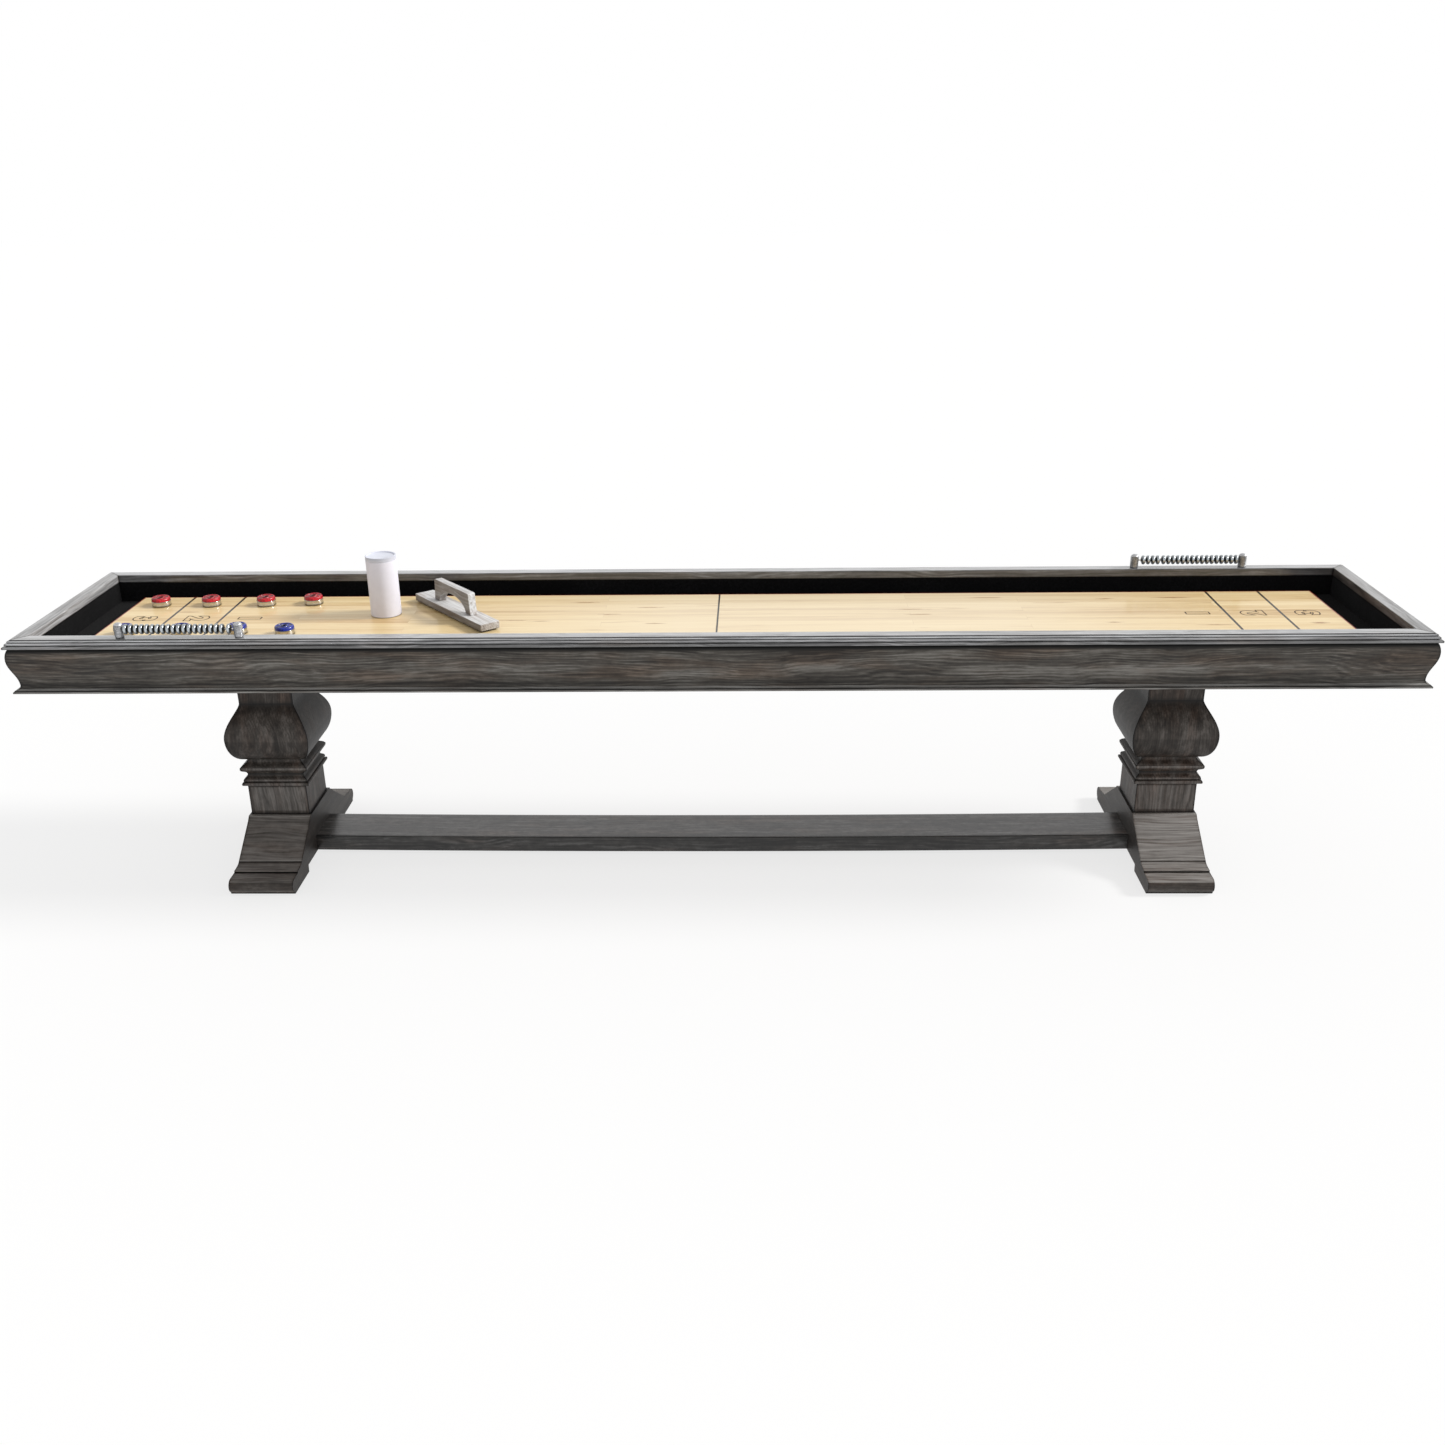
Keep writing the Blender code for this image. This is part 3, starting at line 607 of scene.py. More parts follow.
def build_aprons():
    """An ogee with a cavetto and a square lip at its foot, with a painted shadow of the cap at
    its top, painted shade at its waist and painted highlights on the cavetto and the lip.
    """
    top = APRON_HIGH.z
    bulge, waist = (0.0026, 0.7075), (0.0200, 0.632)
    shoulder = arc((0.0145, bulge[1]), (0.0119, top - bulge[1]), 90, 180, 18)
    # painted shadow of the cap's lip: black at the apron's top, fading over 14 mm
    shoulder = [(inset, z, max(SHADE_AND_GLAZE, -2.2 * nearness(top - z, 0.014)))
                for inset, z, _ in shoulder]
    ogee = ease(bulge, waist, 18)
    ogee = [(inset, z, -0.5 * nearness(z - waist[1], 0.012)) for inset, z, _ in ogee]
    cavetto = arc((0.0085, waist[1]), (0.0115, 0.0115), -10, -40, 3, -0.2)
    # painted highlight on the lower cavetto, which looks up
    cavetto += arc((0.0085, waist[1]), (0.0115, 0.0115), -50, -90, 4, 0.7)
    foot = [(0.0080, 0.6204, SHADE_AND_GLAZE), (0.0064, 0.6186, SHADE_AND_GLAZE), (0.0056, 0.6181, 0.4),
            (0.0045, 0.6174, 0.6), (0.0045, APRON_LOW.z + 0.0010, 0.6),
            (0.0045, APRON_LOW.z, SHADE_AND_GLAZE)]
    inner = APRON_HIGH.y + HALF_WIDTH
    inside = [(inner, APRON_LOW.z, -0.2), (inner, top, 0.0)]
    profile = shoulder + ogee + cavetto + foot + inside
    mitred_rails("apron", dict.fromkeys(SIDES, profile), "apron_wood")


# ---- playing board

DIGIT_HEIGHT = 0.058
DIGIT_PLACES = {"3": 1.632, "2": 1.482, "1": 1.331}     # from the board's middle
DIGIT_Y = 0.011
DIGIT_LINE = 0.0016             # half width of the painted outline
DIGIT_OUTSET = 0.0052           # how far the outline stands outside the font's own
DIGIT_LIFT = 0.00012            # its height above the board
DIGIT_FLATNESS = 0.10
FONT_DIGIT = 0.73               # a digit's height in the font, at size 1


def build_board():
    """The playing board, with a painted digit in each scoring zone."""
    low, high = BOARD_LOW, BOARD_HIGH
    bm = bmesh.new()
    bmesh.ops.create_cube(bm, size=1.0)
    scale = Matrix.Diagonal((*(high - low), 1.0))
    bmesh.ops.transform(bm, matrix=Matrix.Translation((low + high) / 2) @ scale, verts=bm.verts)
    finish_mesh(bm, "board_maple", "table", "maple", replaces=["playfield"],
                edge=0.0015, segments=4)
    for digit, place in DIGIT_PLACES.items():
        for end, sign in (("left", -1), ("right", 1)):
            build_digit(digit, end, sign, place)


def build_digit(digit, end, sign, place):
    """A thin painted outline of a plain digit, read from the table's near end."""
    text = bpy.data.curves.new(f"digit_{digit}_{end}", "FONT")
    text.body = digit
    text.size = DIGIT_HEIGHT / FONT_DIGIT
    text.fill_mode = "NONE"
    text.offset = DIGIT_OUTSET
    text.bevel_depth = DIGIT_LINE
    text.bevel_resolution = 1
    text.align_x = "CENTER"
    text.align_y = "CENTER"
    source = new_object(text.name, text)
    bpy.context.view_layer.update()
    mesh = bpy.data.meshes.new_from_object(source.evaluated_get(
        bpy.context.evaluated_depsgraph_get()))
    bpy.data.objects.remove(source)
    bm = bmesh.new()
    bm.from_mesh(mesh)
    bmesh.ops.remove_doubles(bm, verts=bm.verts, dist=0.00001)
    laid = Matrix.Translation((BOARD_X + sign * place, DIGIT_Y, BOARD_HIGH.z + DIGIT_LIFT))
    laid = laid @ Matrix.Rotation(sign * math.pi / 2, 4, "Z")
    flat = Matrix.Diagonal((1, 1, DIGIT_FLATNESS, 1))
    bmesh.ops.transform(bm, matrix=laid @ flat, verts=bm.verts)
    finish_mesh(bm, f"board_digit_{digit}_{end}", "table", "ink")


# ---- pedestals and stretcher

# (distance from a corner, tone)
CORNER = ((0.0, -1.0), (0.0016, -0.95), (0.0034, -0.3), (0.010, 0.0))
FOOT_EDGE = ((0.0, -0.9), (0.0016, -0.6), (0.0034, -0.15), (0.010, 0.0))
SHADED = -0.58                  # tone of painted shade on faces turned from the light: the legs' sides along X, the feet's ends and the stretcher's front, back and underside


def square_ring(half, z, tone):
    """A square ring of points around the Z axis, darker at its corners, with painted shade on the
    two sides that face along X.
    """
    ring = []
    for quarter in range(4):
        turn = Matrix.Rotation(quarter * math.pi / 2, 3, "Z")
        for x, corner in stations(half, CORNER)[:-1]:
            position = turn @ Vector((x, -half, z))
            value = tone + corner + (SHADED if quarter % 2 else 0.0)
            ring.append((position, max(SHADE_AND_GLAZE, value)))
    return ring


def squared(name, profile, node, side, sign):
    """A square column from a profile of (half width, height, tone), listed downwards."""
    bm = skin([square_ring(*point) for point in reversed(profile)])
    bmesh.ops.translate(bm, verts=bm.verts, vec=(sign * PEDESTAL_X, 0, 0))
    finish_mesh(bm, f"{name}_{side}", "table", "leg_wood_Z",
                replaces=[f"{node}_{side}"], edge=0.0007)


def build_post(side, sign):
    """The squared upper part: a tapering neck that swells into a bulb, with painted shade at its
    top, at the neck and under the bulb.
    """
    top, low = POST_HIGH.z, POST_LOW.z
    bulb_z, bulb, neck, neck_z = 0.388, POST_HIGH.y, 0.0775, 0.485
    column = [(0.0800, top, -0.6), (0.0796, top - 0.02, 0.0), (0.0786, 0.60, 0.0),
              (0.0778, 0.53, 0.0), (neck, neck_z + 0.010, -0.2), (neck, neck_z + 0.0015, -0.6),
              (neck, neck_z, SHADE_AND_GLAZE)]
    swell = ease((neck, neck_z), (bulb, bulb_z), 20, lead=0.72)
    # painted shade just below the neck and under the bulb
    swell = [(half, z, -0.75 * nearness(neck_z - z, 0.030)) for half, z, _ in swell]
    under = arc((neck, bulb_z), (bulb - neck, bulb_z - low), 0, -90, 18)[1:]
    under = [(half, z, -0.3 - 0.7 * nearness(half - neck, 0.024)) for half, z, _ in under]
    squared("post_wood", column + swell + under, "pedestal_post", side, sign)


def build_base(side, sign):
    """The block on the foot, with two projecting mouldings at its top, painted highlights on the
    mouldings and the block, and painted shade in the recess and at its foot.
    """
    upper = [(0.0765, BASE_HIGH.z, SHADE_AND_GLAZE), (0.0770, 0.3120, 0.0), (0.0790, 0.3085, 0.0)]
    upper += ease((0.0790, 0.3085), (0.0945, 0.2940), 8)
    upper += [(0.0962, 0.2936, 0.3), (0.0968, 0.2926, 0.5), (0.0968, 0.2872, 0.2)]
    upper += [(0.0962, 0.2862, 0.0)] + ease((0.0962, 0.2862), (0.0825, 0.2730), 7)
    recess = [(0.0815, 0.2715, -0.8), (0.0815, 0.2655, -0.5)]
    lower = ease((0.0815, 0.2655), (0.0915, 0.2550), 6)
    lower += arc((0.0905, 0.2520), (0.0019, 0.0026), 60, -70, 4, 0.3)
    lower += [(0.0893, 0.2487, SHADE_AND_GLAZE), (0.0893, 0.2478, SHADE_AND_GLAZE), (0.0930, 0.2466, 0.2)]
    lower += arc((0.0942, 0.2418), (0.0026, 0.0046), 80, -80, 6, 0.25)
    lower += [(0.0900, 0.2364, -0.6), (0.0862, 0.2352, SHADE_AND_GLAZE)]
    block = [(0.0848, 0.2338, -0.7), (0.0847, 0.2270, 0.35), (0.0850, 0.1560, 0.35),
             (0.0853, BASE_LOW.z + 0.004, -0.3), (0.0853, BASE_LOW.z, -0.9)]
    squared("base_wood", upper + recess + lower + block, "pedestal_base", side, sign)


def foot_outline():
    """Half of the sledge foot's side view, from the top middle out and under to the middle, with
    painted highlights on the faces that look up and painted shade in its creases and underneath.
    """
    top = FOOT_HIGH.z
    points = [(0.0, top, 0.0), (0.0862, top, -0.8), (0.0880, top, 0.5), (0.0965, top, 0.7)]
    points += arc((0.0965, top - 0.0012), (0.0012, 0.0012), 90, 20, 2, 0.7)
    points += [(0.1000, 0.1398, 0.4), (0.1080, 0.1322, 0.3), (0.1600, 0.0972, 0.3),
               (0.2120, 0.0622, 0.4), (0.2180, 0.0586, 0.8)]
    points += [(0.2192, 0.0570, -0.9), (0.2240, 0.0538, 0.2), (0.2330, 0.0514, 0.3),
               (0.2450, 0.0500, 0.4), (0.2590, 0.0493, 0.5), (0.2616, 0.0486, 0.6),
               (0.2620, 0.0472, -0.2), (0.2610, 0.0458, SHADE_AND_GLAZE)]
    points += [(0.2598, 0.0450, SHADE_AND_GLAZE), (0.2640, 0.0446, SHADE_AND_GLAZE), (0.2670, 0.0446, 0.2),
               (0.2900, 0.0443, 0.5)]
    points += arc((0.2960, 0.0246), (0.0205, 0.0196), 86, 50, 4, 0.3)
    points += arc((0.2960, 0.0246), (0.0205, 0.0196), 40, -62, 10)
    points += [(0.3050, 0.0040, -0.7), (0.3040, 0.0015, SHADE_AND_GLAZE), (0.3025, 0.0, SHADE_AND_GLAZE),
               (0.1725, 0.0, -0.8), (0.1715, 0.0010, -0.8), (0.1695, 0.0207, -0.5),
               (0.0, 0.0207, -0.3)]
    return points


FOOT_HIGHLIGHT = {"left": 0.2, "right": 0.8}    # painted highlight added to the light tones of each foot; most on the right one, which the sun reaches under the table's end


def build_foot(side, sign):
    half = [(y, z, tone + FOOT_HIGHLIGHT[side] if tone > 0 else tone) for y, z, tone in foot_outline()]
    outline = half + [(-y, z, tone) for y, z, tone in reversed(half)][1:-1]
    rings = []
    for x, edge_tone in stations((FOOT_HIGH.x - FOOT_LOW.x) / 2, FOOT_EDGE):
        rings.append([((x, y, z), max(SHADE_AND_GLAZE, min(tone, tone + edge_tone)))
                      for y, z, tone in outline])
    bm = skin(rings)
    ends = [face for face in bm.faces if len(face.verts) > 4]
    # painted shade on the foot's ends
    inset_tone(bm, ends, 0.010, SHADED)
    bmesh.ops.translate(bm, verts=bm.verts, vec=(sign * PEDESTAL_X, 0, 0))
    finish_mesh(bm, f"foot_wood_{side}", "table", "leg_wood_XY",
                replaces=[f"pedestal_foot_{side}"], edge=0.0009)


def inset_tone(bm, faces, width, value):
    """Insets flat faces, so that the tone of their edges fades to another value inside."""
    tone = bm.verts.layers.float["tone"]
    before = set(bm.verts)
    bmesh.ops.inset_individual(bm, faces=faces, thickness=width, use_even_offset=True)
    for vert in bm.verts:
        if vert not in before:
            vert[tone] = value


STRETCHER_BOW = 0.007


def build_stretcher():
    """A wide flat rail that dips a little towards its middle, with eased edges, darker along its
    edges, and painted shade on its front, underside and back.
    """
    half_length, half_width = STRETCHER_HIGH.x, STRETCHER_HIGH.y
    radius, border = 0.003, 0.008
    low, high = STRETCHER_LOW.z + STRETCHER_BOW, STRETCHER_HIGH.z
    corners = ((half_width - radius, high - radius), (-half_width + radius, high - radius),
               (-half_width + radius, low + radius), (half_width - radius, low + radius))
    outline = []
    # painted shade on the front, underside and back; the top stays nearly untouched
    for i, side_tone in enumerate((-0.05, SHADED, SHADED, SHADED)):
        outline += arc(corners[i], (radius, radius), 90 * i, 90 * (i + 1), 4, -0.75)
        angle = math.radians(90 * (i + 1))
        out_y, out_z = radius * math.cos(angle), radius * math.sin(angle)
        for (y, z), step in ((corners[i], border), (corners[(i + 1) % 4], -border)):
            outline.append((y + out_y - step * math.sin(angle),
                            z + out_z + step * math.cos(angle), side_tone))
    rings = []
    steps = 40
    for i in range(steps + 1):
        x = half_length * (2 * i / steps - 1)
        dip = STRETCHER_BOW * (1 - (x / half_length) ** 2)
        rings.append([((x, y, z - dip), tone) for y, z, tone in outline])
    finish_mesh(skin(rings), "stretcher_wood", "table", "rail_wood",
                replaces=["stretcher"])


# ---- bead scorers

BEAD_PITCH = 0.0141
BEAD_LIGHT_AND_SHADE = (SHADE_AND_GLAZE, SHADE_AND_GLAZE, -0.7, -0.3, 0.1, 0.4, 0.6, 0.6)     # painted shade on a disc's side by its collar, rising to a painted highlight at its rim


def build_scorers():
    for side in ("front", "back"):
        for end in ("left", "right"):
            build_scorer_post(side, end)
            build_beads(side, end)
        build_rod(side)


def build_scorer_post(side, end):
    """A turned post with a fine shoulder line in painted shade under its domed top, a painted
    highlight on the dome and painted shade at its foot.
    """
    node = f"scorer_post_{side}_{end}"
    low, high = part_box(node)
    centre, radius = (low + high) / 2, (high.x - low.x) / 2
    dome = arc((0, high.z - 0.0070), (radius - 0.0006, 0.0070), 90, 4, 10, 0.5)
    dome[0] = (0, high.z, 0.5)
    body = [(radius - 0.0010, high.z - 0.0076, SHADE_AND_GLAZE), (radius, high.z - 0.0084, 0.3),
            (radius, high.z - 0.0100, 0.0), (radius, low.z + 0.0030, 0.0),
            (radius - 0.0006, low.z + 0.0012, -0.4), (radius - 0.0012, low.z, SHADE_AND_GLAZE),
            (0, low.z, 0.0)]
    place = Matrix.Translation((centre.x, centre.y, 0))
    finish_mesh(turned(dome + body, 40), f"score_post_{side}_{end}", "table",
                "post_grey", replaces=[node], place=place)


def build_rod(side):
    """The rod that the beads slide on, with eased ends."""
    node = f"scorer_rod_{side}"
    low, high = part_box(node)
    centre, half, radius = (low + high) / 2, (high.x - low.x) / 2, (high.z - low.z) / 2
    ease_off = 0.0006
    profile = [(0, half, 0), (radius - ease_off, half, 0), (radius, half - ease_off, 0),
               (radius, -half + ease_off, 0), (radius - ease_off, -half, 0), (0, -half, 0)]
    finish_mesh(turned(profile, 24, "X"), f"score_rod_{side}", "table", "chrome",
                replaces=[node], place=Matrix.Translation(centre))


def build_beads(side, end):
    """A run of separate rounded discs, each with a short collar on both faces."""
    node = f"scorer_beads_{side}_{end}"
    low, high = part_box(node)
    radius = (high.z - low.z) / 2
    count = round((high.x - low.x) / BEAD_PITCH)
    bore, collar = 0.0028, 0.0052
    half_pitch, half_disc = BEAD_PITCH / 2 - 0.00012, 0.0052
    disc = []
    steps = 14
    for i in range(steps + 1):
        angle = math.pi * i / steps
        disc.append((collar + (radius - collar) * math.sin(angle) ** 0.7,
                     half_disc * math.cos(angle), BEAD_LIGHT_AND_SHADE[min(i, steps - i)]))
    # painted shade on the collars between the discs
    profile = [(bore, half_pitch, SHADE_AND_GLAZE), (collar - 0.0004, half_pitch, SHADE_AND_GLAZE)]
    profile += disc + [(collar - 0.0004, -half_pitch, SHADE_AND_GLAZE), (bore, -half_pitch, SHADE_AND_GLAZE)]
    pitch = (high.x - low.x) / count
    whole = turned(profile, 32, "X")
    bmesh.ops.translate(whole, verts=whole.verts, vec=(low.x + pitch / 2, (low.y + high.y) / 2,
                                                       (low.z + high.z) / 2))
    first = whole.verts[:] + whole.edges[:] + whole.faces[:]
    for i in range(1, count):
        made = bmesh.ops.duplicate(whole, geom=first)["geom"]
        verts = [item for item in made if isinstance(item, bmesh.types.BMVert)]
        bmesh.ops.translate(whole, verts=verts, vec=(i * pitch, 0, 0))
    finish_mesh(whole, f"score_{node[7:]}", node, "scorer_grey", replaces=[node])


# ---- loose gear

PETALS = 6
PETAL_HEIGHT = 0.0010


def build_pucks():
    for tint in ("red", "blue"):
        for number in range(1, 5):
            body = f"puck_{tint}_{number}"
            low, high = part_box(f"{body}_body")
            cap_low, cap_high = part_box(f"{body}_cap")
            place = Matrix.Translation(((low.x + high.x) / 2, (low.y + high.y) / 2, low.z))
            build_puck_body(body, place, (high.x - low.x) / 2, high.z - low.z)
            build_puck_cap(body, tint, place, cap_low.z - low.z, cap_high.z - low.z)


def build_puck_body(body, place, radius, height):
    """A polished weight with eased rims and a shallow waist, with painted shade along its upper
    rim and a darker painted shadow along its foot.
    """
    profile = [(0, height, 0), (radius - 0.0012, height, 0)]
    profile += arc((radius - 0.0012, height - 0.0012), (0.0012, 0.0012), 80, 0, 4, -0.3)
    profile += [(radius - 0.0004, 0.77 * height, 0), (radius - 0.0007, 0.55 * height, 0),
                (radius - 0.0004, 0.33 * height, 0)]
    profile += arc((radius - 0.0014, 0.0022), (0.0014, 0.0022), 10, -80, 5, -0.7)
    profile += [(radius - 0.0030, 0, SHADE_AND_GLAZE), (0, 0, SHADE_AND_GLAZE)]
    finish_mesh(turned(profile, 64), f"{body}_weight", body, "puck_metal",
                replaces=[f"{body}_body"], place=place)


def build_puck_cap(body, tint, place, base, top):
    """A moulded cap: rounded rim, sunk ring with raised petals, hole in the middle; painted shade
    in the ring and the hole, and a painted highlight on the petals.
    """
    rim = [(0.0261, base), (0.0261, base + 0.0038), (0.0258, base + 0.0054),
           (0.0251, top - 0.0020), (0.0241, top - 0.0009), (0.0228, top), (0.0214, top),
           (0.0206, top - 0.0006)]
    sunk = (0.0198, 0.0180, 0.0160, 0.0140, 0.0122, 0.0112)
    profile = [(*point, 0.0) for point in rim]
    profile += [(radius, top - 0.0020, -0.45) for radius in sunk]
    profile += [(0.0106, top - 0.0007, 0), (0.0101, top - 0.0002, 0), (0.0090, top - 0.0002, 0),
                (0.0080, top - 0.0010, -0.8), (0.0072, top - 0.0030, SHADE_AND_GLAZE),
                (0.0066, base, SHADE_AND_GLAZE)]
    bm = turned(profile, 72)
    tone = bm.verts.layers.float["tone"]
    for vert in bm.verts:
        if sunk[-1] + 0.0001 < vert.co.xy.length < sunk[0] - 0.0001:
            wave = math.cos(PETALS * math.atan2(vert.co.y, vert.co.x))
            lift = max(0.0, wave) ** 0.5
            vert.co.z += PETAL_HEIGHT * lift
            # painted highlight on the raised petals
            vert[tone] += 0.5 * lift
    finish_mesh(bm, f"{body}_moulding", body, f"puck_{tint}",
                replaces=[f"{body}_cap"], place=place)


def build_powder_can():
    """A card tube with a rolled foot, and a plastic lid that plugs into it; painted shade at the
    tube's foot and under the lid's edge, and painted highlights on the tube's top edge and the
    lid's rim.
    """
    low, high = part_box("powder_can")
    _, lid_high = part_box("powder_can_lid")
    centre = (low + high) / 2
    radius, height = (high.x - low.x) / 2, high.z - low.z
    wall = 0.0016
    inside = radius - wall
    profile = [(0, 0.0020, 0), (inside, 0.0020, 0), (inside, height - 0.0004, 0)]
    profile += [(inside + 0.0004, height, 0), (radius - 0.0004, height, 0.2),
                (radius, height - 0.0005, 0.2), (radius, 0.0030, 0.0), (radius, 0.0016, -0.4)]
    profile += arc((radius - 0.0016, 0.0016), (0.0016, 0.0016), 0, -80, 4, -0.8)[1:]
    profile += [(radius - 0.0040, 0.0004, SHADE_AND_GLAZE), (radius - 0.0048, 0.0012, SHADE_AND_GLAZE),
                (0, 0.0012, 0)]
    place = Matrix.Translation((centre.x, centre.y, low.z))
    finish_mesh(turned(profile, 96), "can_tube", "powder_can", "card",
                replaces=["powder_can"], place=place)
    skirt = height + 0.0003
    top = lid_high.z - low.z
    plug = inside - 0.0005
    cap = [(0, top - 0.0030, 0.0), (0.0370, top - 0.0030, 0.0)]
    cap += [(0.0380, top - 0.0026, -0.15), (0.0386, top - 0.0004, 0.2), (0.0392, top, 0.3),
            (radius - 0.0012, top, 0.0)]
    cap += arc((radius - 0.0010, top - 0.0010), (0.0010, 0.0010), 80, 0, 4, -0.3)
    cap += [(radius, skirt + 0.0012, 0.0), (radius - 0.0004, skirt, -0.25), (plug, skirt, -0.5),
            (plug, skirt - 0.0080, 0.0), (plug - 0.0014, skirt - 0.0080, 0.0),
            (plug - 0.0014, skirt, 0.0), (0, skirt, 0.0)]
    finish_mesh(turned(cap, 96), "can_lid", "powder_can_lid", "lid_plastic",
                replaces=["powder_can_lid"], place=place)


BRUSH_ANGLE = math.radians(-50.3)
BRUSH_SIZE = (0.383, 0.060)
HANDLE_ARCH = (0.076, 0.038)    # half width and height of the opening
HANDLE_HALF_WIDTH = 0.011


def rounded_slab(half_x, half_y, low, high, corner, edge):
    """A slab with rounded corners in plan and soft edges, with painted light and shade: lighter
    on the sides that face +X and +Y and darker on the other two, a painted highlight along its
    top and painted shade along its foot.
    """
    plan, steps = [], 5
    for sign_x, sign_y, start in ((1, 1, 0), (-1, 1, 90), (-1, -1, 180), (1, -1, 270)):
        places = arc((sign_x * (half_x - corner), sign_y * (half_y - corner)), (corner, corner),
                     start, start + 90, steps)
        for i, (x, y, _) in enumerate(places):
            facing = math.radians(start + 90 * i / steps)
            # painted light and shade by the direction a side faces
            plan.append((x, y, -0.20 + 0.45 * math.cos(facing) + 0.38 * math.sin(facing)))
    levels = []
    for i in range(5):
        angle = math.radians(90 * i / 4)
        levels.append((edge * (1 - math.sin(angle)), low + edge * (1 - math.cos(angle))))
    levels += [(inset, low + high - z) for inset, z in reversed(levels)]
    rings = []
    for inset, z in levels:
        ring = []
        for x, y, tone in plan:
            shrunk = ((x - math.copysign(inset, x)), (y - math.copysign(inset, y)), z)
            if z < low + edge:
                tone = SHADE_AND_GLAZE
            ring.append((shrunk, 0.7 if z > high - edge * 0.3 else tone))
        rings.append(ring)
    return skin(rings)


def build_brush():
    low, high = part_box("brush_board")
    bristles_low, bristles_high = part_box("brush_bristles")
    handle_low, handle_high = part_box("brush_handle")
    centre = (low + high) / 2
    place = Matrix.Translation((centre.x, centre.y, 0)) @ Matrix.Rotation(BRUSH_ANGLE, 4, "Z")
    half_x, half_y = BRUSH_SIZE[0] / 2, BRUSH_SIZE[1] / 2
    slab = rounded_slab(half_x, half_y, low.z, high.z, 0.004, 0.0014)
    finish_mesh(slab, "brush_block", "brush", "brush_wood", replaces=["brush_board"],
                place=place)
    build_handle(place, handle_low.z, handle_high.z)
    build_bristles(place, half_x - 0.006, half_y - 0.004, bristles_low.z, bristles_high.z)


def build_handle(place, low, top):
    """A bridge handle: flat grip, sloping ends, round-arched opening; painted highlights on the
    top and the right end, and painted shade on the left foot, in the arch and across the two
    broad faces.
    """
    opening = arc((0, low), HANDLE_ARCH, 0, 180, 24, -0.3)
    outer = [(-0.104, low, -0.8), (-0.1030, low + 0.006, -0.2), (-0.0985, top - 0.012, -0.1)]
    outer += arc((-0.0920, top - 0.0065), (0.0065, 0.0065), 170, 100, 5, 0.3)
    outer += [(-0.080, top, 0.3), (0.0, top, 0.3)]
    outline = outer + [(-x, z, max(tone, 0.7 if x < -0.09 else 0.3))
                       for x, z, tone in reversed(outer)][1:]
    outline += opening
    bm = bmesh.new()
    tone_layer = bm.verts.layers.float.new("tone")
    verts = []
    for x, z, tone in outline:
        vert = bm.verts.new((x, -HANDLE_HALF_WIDTH, z))
        vert[tone_layer] = tone
        verts.append(vert)
    extruded = bmesh.ops.extrude_face_region(bm, geom=[bm.faces.new(verts)])
    moved = [item for item in extruded["geom"] if isinstance(item, bmesh.types.BMVert)]
    bmesh.ops.translate(bm, verts=moved, vec=(0, 2 * HANDLE_HALF_WIDTH, 0))
    inset_tone(bm, [part for part in bm.faces if len(part.verts) > 4], 0.0022, -0.5)
    finish_mesh(bm, "brush_bridge", "brush", "brush_wood", replaces=["brush_handle"],
                place=place, edge=0.0014, segments=3)


def build_bristles(place, half_x, half_y, low, high):
    """Rows of short tapered tufts under a thin backing strip."""
    backing = 0.0012
    whole = rounded_slab(half_x, half_y, high - backing, high, 0.002, 0.0004)
    middle = (low + high - backing) / 2
    columns, rows = 72, 9
    for i in range(columns):
        for j in range(rows):
            x = half_x * (2 * (i + 0.5) / columns - 1) * 0.985
            y = half_y * (2 * (j + 0.5) / rows - 1) * 0.95
            tuft = bmesh.ops.create_cone(whole, cap_ends=True, segments=5, radius1=0.0022,
                                         radius2=0.0014, depth=high - backing - low,
                                         matrix=Matrix.Translation((x, y, middle)))
            for vert in tuft["verts"]:
                if vert.co.z < middle:
                    vert.co.x += 0.0006 * math.sin(12.9 * i + 4.1 * j)
    finish_mesh(whole, "brush_tufts", "brush", "bristle", replaces=["brush_bristles"],
                place=place)


# ---- carried-over nodes

def finish_kept_nodes():
    """Materials and eased edges for the solids that show as they are."""
    kept = {"gutter_floor": "carpet"}
    for side in SIDES:
        kept[f"gutter_wall_{side}"] = "carpet"
    for side in ("left", "right"):
        kept[f"climate_bracket_{side}"] = "steel"
        kept[f"climate_rod_{side}"] = "steel"
        kept[f"stretcher_bolt_{side}"] = "steel"
        kept[f"pedestal_plate_{side}"] = "leg_wood_X"
    for name, material in kept.items():
        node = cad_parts[name]
        if not node.material_slots:
            node.data.materials.append(None)
        for slot in node.material_slots:
            slot.material = MATERIAL[material]
        if material != "carpet":
            round_edges(node, 0.0004)


# ---- stage, light and camera

FLOOR_SIZE = 60.0
FLOOR_GREY, FLOOR_GLOW = 0.21, 0.742
SKY_FADE = (0.35, 0.75, 1.0, 0.55)      # low and high end of the fade, the strength at each
SUN_STRENGTH, SUN_WIDTH, SUN_HEIGHT = 3.2, math.radians(14), math.radians(33)
SUN_COLOUR = (1.0, 0.985, 0.965)
CAMERA_PLACE = (0.1198, -3.7592, 1.9359)
CAMERA_TURNS = (-1.636, 22.329, -0.818)     # yaw, pitch and roll in degrees
CAMERA_LENS = 35.163                        # mm, on a sensor 36 mm wide


def build_stage():
    """A plain pale floor under a white sky."""
    bm = bmesh.new()
    bmesh.ops.create_grid(bm, x_segments=1, y_segments=1, size=FLOOR_SIZE / 2)
    mesh = bpy.data.meshes.new("studio_floor")
    bm.to_mesh(mesh)
    bm.free()
    g = Graph("studio_floor")
    g.set(Base_Color=(*(FLOOR_GREY,) * 3, 1), Roughness=0.9, Specular_IOR_Level=0.0,
          Emission_Color=(1, 1, 1, 1), Emission_Strength=FLOOR_GLOW)
    mesh.materials.append(g.material)
    floor = new_object("studio_floor", mesh)
    floor.location.z = -0.0005


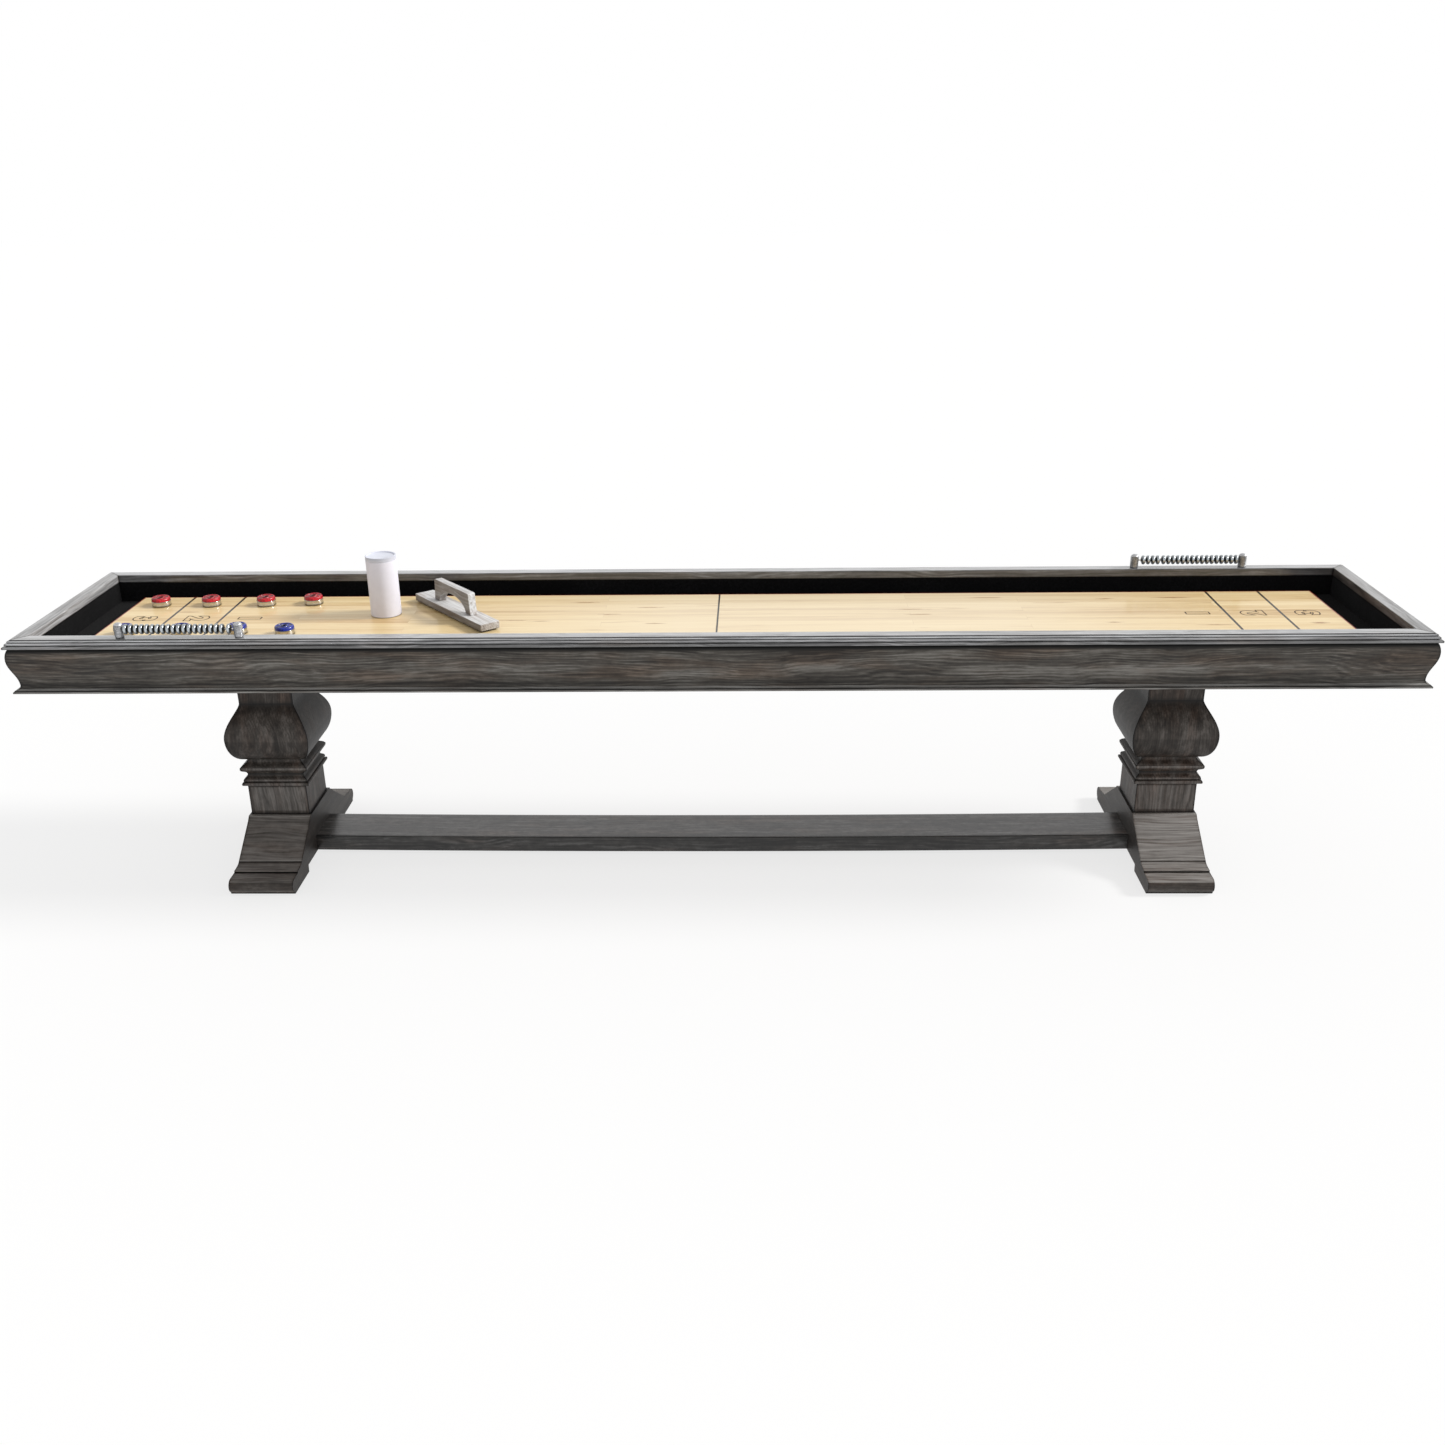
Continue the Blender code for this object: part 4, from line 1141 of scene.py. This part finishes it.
def build_light():
    """A white sky, brightest low down, and a soft sun past the table's right end."""
    world = bpy.data.worlds.new("sky")
    world.use_nodes = True
    tree = world.node_tree
    background = tree.nodes["Background"]
    background.inputs["Color"].default_value = (1, 1, 1, 1)
    direction = tree.nodes.new("ShaderNodeTexCoord")
    split = tree.nodes.new("ShaderNodeSeparateXYZ")
    fade = tree.nodes.new("ShaderNodeMapRange")
    for socket, value in zip(list(fade.inputs)[1:5], SKY_FADE):
        socket.default_value = value
    tree.links.new(direction.outputs["Generated"], split.inputs[0])
    tree.links.new(split.outputs[2], fade.inputs[0])
    tree.links.new(fade.outputs[0], background.inputs["Strength"])
    bpy.context.scene.world = world
    sun = bpy.data.lights.new("sun", "SUN")
    sun.energy = SUN_STRENGTH
    sun.angle = SUN_WIDTH
    sun.color = SUN_COLOUR
    lamp = new_object("sun", sun)
    towards = Vector((math.cos(SUN_HEIGHT), 0.07, math.sin(SUN_HEIGHT)))
    lamp.rotation_mode = "QUATERNION"
    lamp.rotation_quaternion = towards.to_track_quat("Z", "Y")
    bpy.context.scene.view_settings.view_transform = "Standard"


def build_camera():
    """A standing viewer's camera in front of the table, near its middle."""
    yaw, pitch, roll = (math.radians(angle) for angle in CAMERA_TURNS)
    turns = (Matrix.Rotation(-yaw, 4, "Z") @ Matrix.Rotation(math.pi / 2 - pitch, 4, "X")
             @ Matrix.Rotation(roll, 4, "Z"))
    data = bpy.data.cameras.new("camera")
    data.sensor_width = 36.0
    data.lens = CAMERA_LENS
    camera = new_object("camera", data)
    camera.matrix_world = Matrix.Translation(CAMERA_PLACE) @ turns
    bpy.context.scene.camera = camera


build_cap()
build_aprons()
build_board()
for pedestal_side, pedestal_sign in (("left", -1), ("right", 1)):
    build_post(pedestal_side, pedestal_sign)
    build_base(pedestal_side, pedestal_sign)
    build_foot(pedestal_side, pedestal_sign)
build_stretcher()
build_scorers()
build_pucks()
build_powder_can()
build_brush()
finish_kept_nodes()
build_stage()
build_light()
build_camera()
